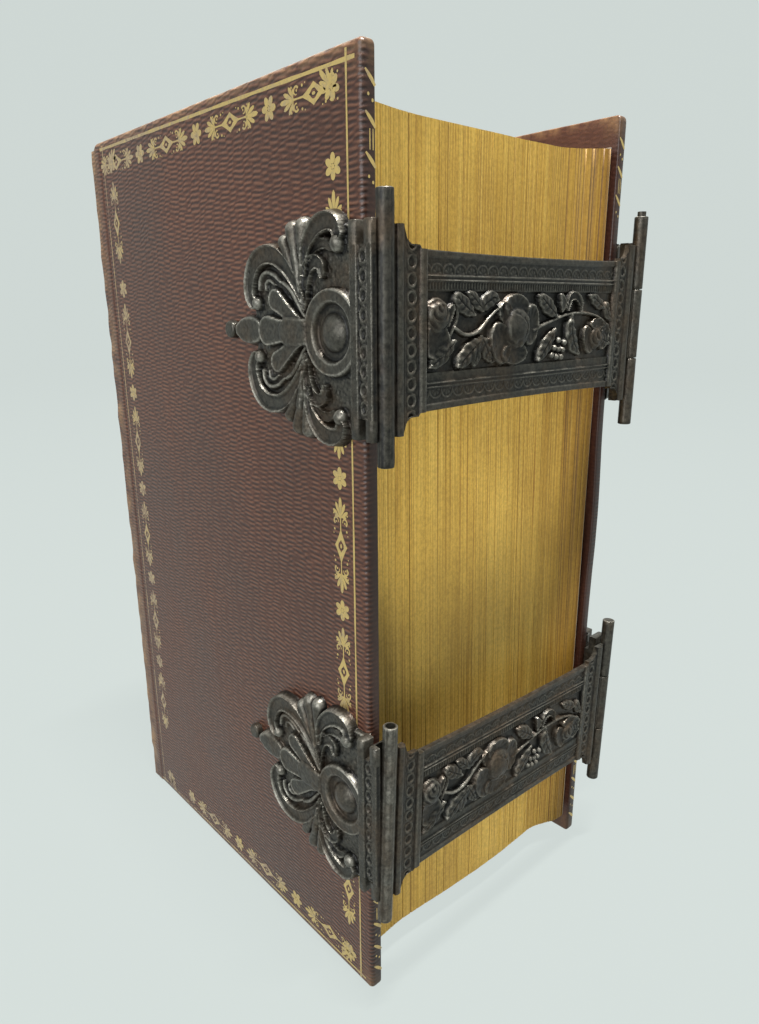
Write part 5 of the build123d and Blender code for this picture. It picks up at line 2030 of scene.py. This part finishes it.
@dataclass
class Studio:
    """Pale floor and backdrop, soft lamps and the camera."""

    lens_mm: float = 25.60
    place_m: Triple = (-0.11795, -0.14453, 0.14149)
    yaw_degrees: float = 42.08
    pitch_degrees: float = 15.87
    roll_degrees: float = -0.38
    floor_colour: Triple = (0.715, 0.785, 0.76)
    seen_share: float = 0.86
    lit_share: float = 0.20
    floor_radius: float = 1.6
    bend_radius: float = 0.6
    wall_top: float = 2.6
    around: int = 48
    air_colour: Triple = (0.78, 0.86, 0.90)
    air_strength: float = 0.23

    def camera(self) -> None:
        """Set the camera at the photograph's place and angle.

        Formula: forward from yaw and pitch, right level, up square to both, then all turned by the roll.
        """
        degrees = (self.yaw_degrees, self.pitch_degrees, self.roll_degrees)
        yaw, pitch, roll = (math.radians(angle) for angle in degrees)
        forward = Vector((math.sin(yaw) * math.cos(pitch), math.cos(yaw) * math.cos(pitch), -math.sin(pitch)))
        level_right = Vector((math.cos(yaw), -math.sin(yaw), 0))
        level_up = level_right.cross(forward)
        right = level_right * math.cos(roll) + level_up * math.sin(roll)
        up = level_up * math.cos(roll) - level_right * math.sin(roll)
        data = bpy.data.cameras.new("camera")
        data.sensor_fit = "VERTICAL"
        data.sensor_height = 36.0
        data.lens = self.lens_mm
        data.clip_start = 0.01
        camera = bpy.data.objects.new("camera", data)
        turn = Matrix((right, up, -forward)).transposed().to_4x4()
        camera.matrix_world = Matrix.Translation(Vector(self.place_m)) @ turn
        bpy.context.scene.collection.objects.link(camera)
        bpy.context.scene.camera = camera

    def lamp(
        self,
        name: str,
        place: Triple,
        target: Triple,
        size: Pair,
        watts: float,
        colour: Triple,
    ) -> None:
        """Add a soft rectangular lamp.

        Args:
            name: its name.
            place: where it hangs.
            target: what it points at.
            size: its two sides in metres.
            watts: its power.
            colour: its colour.
        """
        data = bpy.data.lights.new(name, "AREA")
        data.shape = "RECTANGLE"
        data.size, data.size_y = size
        data.energy = watts
        data.color = colour
        lamp = bpy.data.objects.new(name, data)
        lamp.location = place
        lamp.rotation_euler = (Vector(target) - Vector(place)).to_track_quat("-Z", "Y").to_euler()
        bpy.context.scene.collection.objects.link(lamp)

    def stage_material(self, name: str, colour: Triple, seen: float) -> bpy.types.Material:
        """Matt pale paper, part of whose tone reaches the camera and mirrors by itself.

        Args:
            name: the material's name.
            colour: the tone that it shows.
            seen: the share of the tone that doesn't depend on the lamps.

        Returns:
            The material.
        """
        graph = Graph(name)
        shader = graph.tree.nodes.new("ShaderNodeBsdfDiffuse")
        shader.inputs["Color"].default_value = (*(self.lit_share * value for value in colour), 1)
        glow = graph.tree.nodes.new("ShaderNodeEmission")
        glow.inputs["Color"].default_value = (*colour, 1)
        glow.inputs["Strength"].default_value = 1.0
        path = graph.tree.nodes.new("ShaderNodeLightPath")
        rays = graph.math("MAXIMUM", path.outputs["Is Camera Ray"], path.outputs["Is Glossy Ray"])
        rays = graph.math("MAXIMUM", rays, path.outputs["Is Transmission Ray"])
        share = graph.math("MULTIPLY", rays, seen)
        mix = graph.tree.nodes.new("ShaderNodeMixShader")
        graph.put(mix, {0: share, 1: shader.outputs[0], 2: glow.outputs[0]})
        graph.tree.links.new(mix.outputs[0], graph.output.inputs["Surface"])
        return graph.material

    def stage(self) -> None:
        """Lay one sheet: a floor that curves up into the backdrop all round.

        Formula: a disc whose height stays zero to a radius, then rises as a quarter circle and a wall.
        """
        bend = np.linspace(0.15, math.pi / 2, 9)
        flat = np.linspace(0.2, self.floor_radius, 8)
        edge = self.floor_radius + self.bend_radius
        radius = np.concatenate([flat, self.floor_radius + self.bend_radius * np.sin(bend), [edge]])[:, None]
        height = np.concatenate([np.zeros(8), self.bend_radius * (1 - np.cos(bend)), [self.wall_top]])
        turn = np.linspace(0, 2 * math.pi, self.around + 1)[:-1]
        x, y = radius * np.cos(turn), radius * np.sin(turn)
        rings = np.stack([x, y, np.broadcast_to(height[:, None], x.shape)], axis=-1)
        points = np.vstack([[[0, 0, 0]], rings.reshape(-1, 3)])
        quads = grid_quads(len(radius), self.around, wrap_columns=True) + 1
        fan = [[0, 1 + number, 1 + (number + 1) % self.around] for number in range(self.around)]
        mesh = bpy.data.meshes.new("studio_sweep")
        mesh.from_pydata(points.tolist(), [], quads[:, ::-1].tolist() + fan)
        mesh.polygons.foreach_set("use_smooth", np.ones(len(mesh.polygons), bool))
        mesh.materials.append(self.stage_material("studio_paper", self.floor_colour, self.seen_share))
        sweep = bpy.data.objects.new("studio_sweep", mesh)
        bpy.context.scene.collection.objects.link(sweep)

    def world(self) -> None:
        """Fill light from all round, and a pale backdrop to the camera."""
        world = bpy.data.worlds.new("studio_air")
        world.use_nodes = True
        background = world.node_tree.nodes["Background"]
        background.inputs["Color"].default_value = (*self.air_colour, 1)
        background.inputs["Strength"].default_value = self.air_strength
        bpy.context.scene.world = world

    def build(self) -> None:
        """Set up the camera, the sweep, the air and the lamps."""
        bpy.context.scene.view_settings.view_transform = "Standard"
        self.camera()
        self.stage()
        self.world()
        for lamp in LAMPS:
            self.lamp(*lamp)


# The whole book


@dataclass
class Book:
    """The book: finishes for the CAD nodes that stay, and the pieces that replace the others."""

    frame: dict

    def dress(self, names: tuple[str, ...], material: bpy.types.Material) -> None:
        """Give CAD nodes a finish.

        Args:
            names: the nodes.
            material: the finish.
        """
        for name in names:
            mesh = self.frame["nodes"][name].data
            mesh.materials.clear()
            mesh.materials.append(material)
            LOG.info("%s keeps its CAD shape", name)

    def build(self) -> None:
        """Make every piece and finish in order."""
        leather = LeatherFinish().build()
        spine_leather = LeatherFinish(name="spine_leather", joint_wear=0.12, grain_from=-1.0).build()
        gold = GoldLeafFinish().build()
        silver = SilverFinish().build()
        paper = FibreFinish("plain_endpaper", (0.62, 0.57, 0.47), (0.46, 0.39, 0.29)).build()
        last_paper = FibreFinish("pale_flyleaf", (0.46, 0.42, 0.37), (0.33, 0.28, 0.23)).build()
        board = FibreFinish("rolled_millboard", (0.36, 0.29, 0.20), (0.22, 0.17, 0.11), relief=0.0001).build()
        hemp = (2200.0, 500.0, 900.0)
        cord = FibreFinish("hemp_cord", (0.50, 0.42, 0.29), (0.30, 0.24, 0.15), hemp, 0.0002).build()
        mull = (1600.0, 500.0, 1600.0)
        lining = FibreFinish("spine_lining_mull", (0.50, 0.43, 0.32), (0.34, 0.28, 0.19), mull).build()
        self.dress(("front_flyleaf",), paper)
        self.dress(("sewing_cords",), cord)
        self.dress(("spine_lining",), lining)
        self.dress(("head_band", "tail_band"), ThreadFinish().build())
        self.dress(("upper_front_stud", "lower_front_stud", "upper_back_stud", "lower_back_stud"), silver)
        self.dress(("upper_hinge_pin", "lower_hinge_pin"), silver)
        pages = Pages()
        pages.build(GiltEdgeFinish().build())
        pages.last_flyleaf(last_paper)
        spine = Spine()
        spine.build(spine_leather)
        for side in Side:
            Cover(side).build(leather, board, paper)
            JointLeather(side, spine).build(leather)
            RollBorder().build(side, gold)
        upper, lower = ClaspPlace(UPPER_LEVEL), ClaspPlace(LOWER_STRAP_LEVEL, LOWER_TILT_DEGREES)
        # the upper tube's tone is lowered as painted shade, the lower tube's raised as painted light from
        # below
        Clasp("upper", Body.UPPER_CLASP, upper, UPPER_LEVEL, UPPER_LEVEL, 40, -0.30).build(silver)
        Clasp("lower", Body.LOWER_CLASP, lower, LOWER_FRONT_LEVEL, LOWER_BACK_LEVEL, 60, 0.34).build(silver)


def main() -> None:
    """Load the frame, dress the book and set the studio."""
    logging.basicConfig(level=logging.INFO, format="%(name)s %(message)s")
    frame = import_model()
    Book(frame).build()
    Studio().build()


if __name__ == "__main__":
    main()
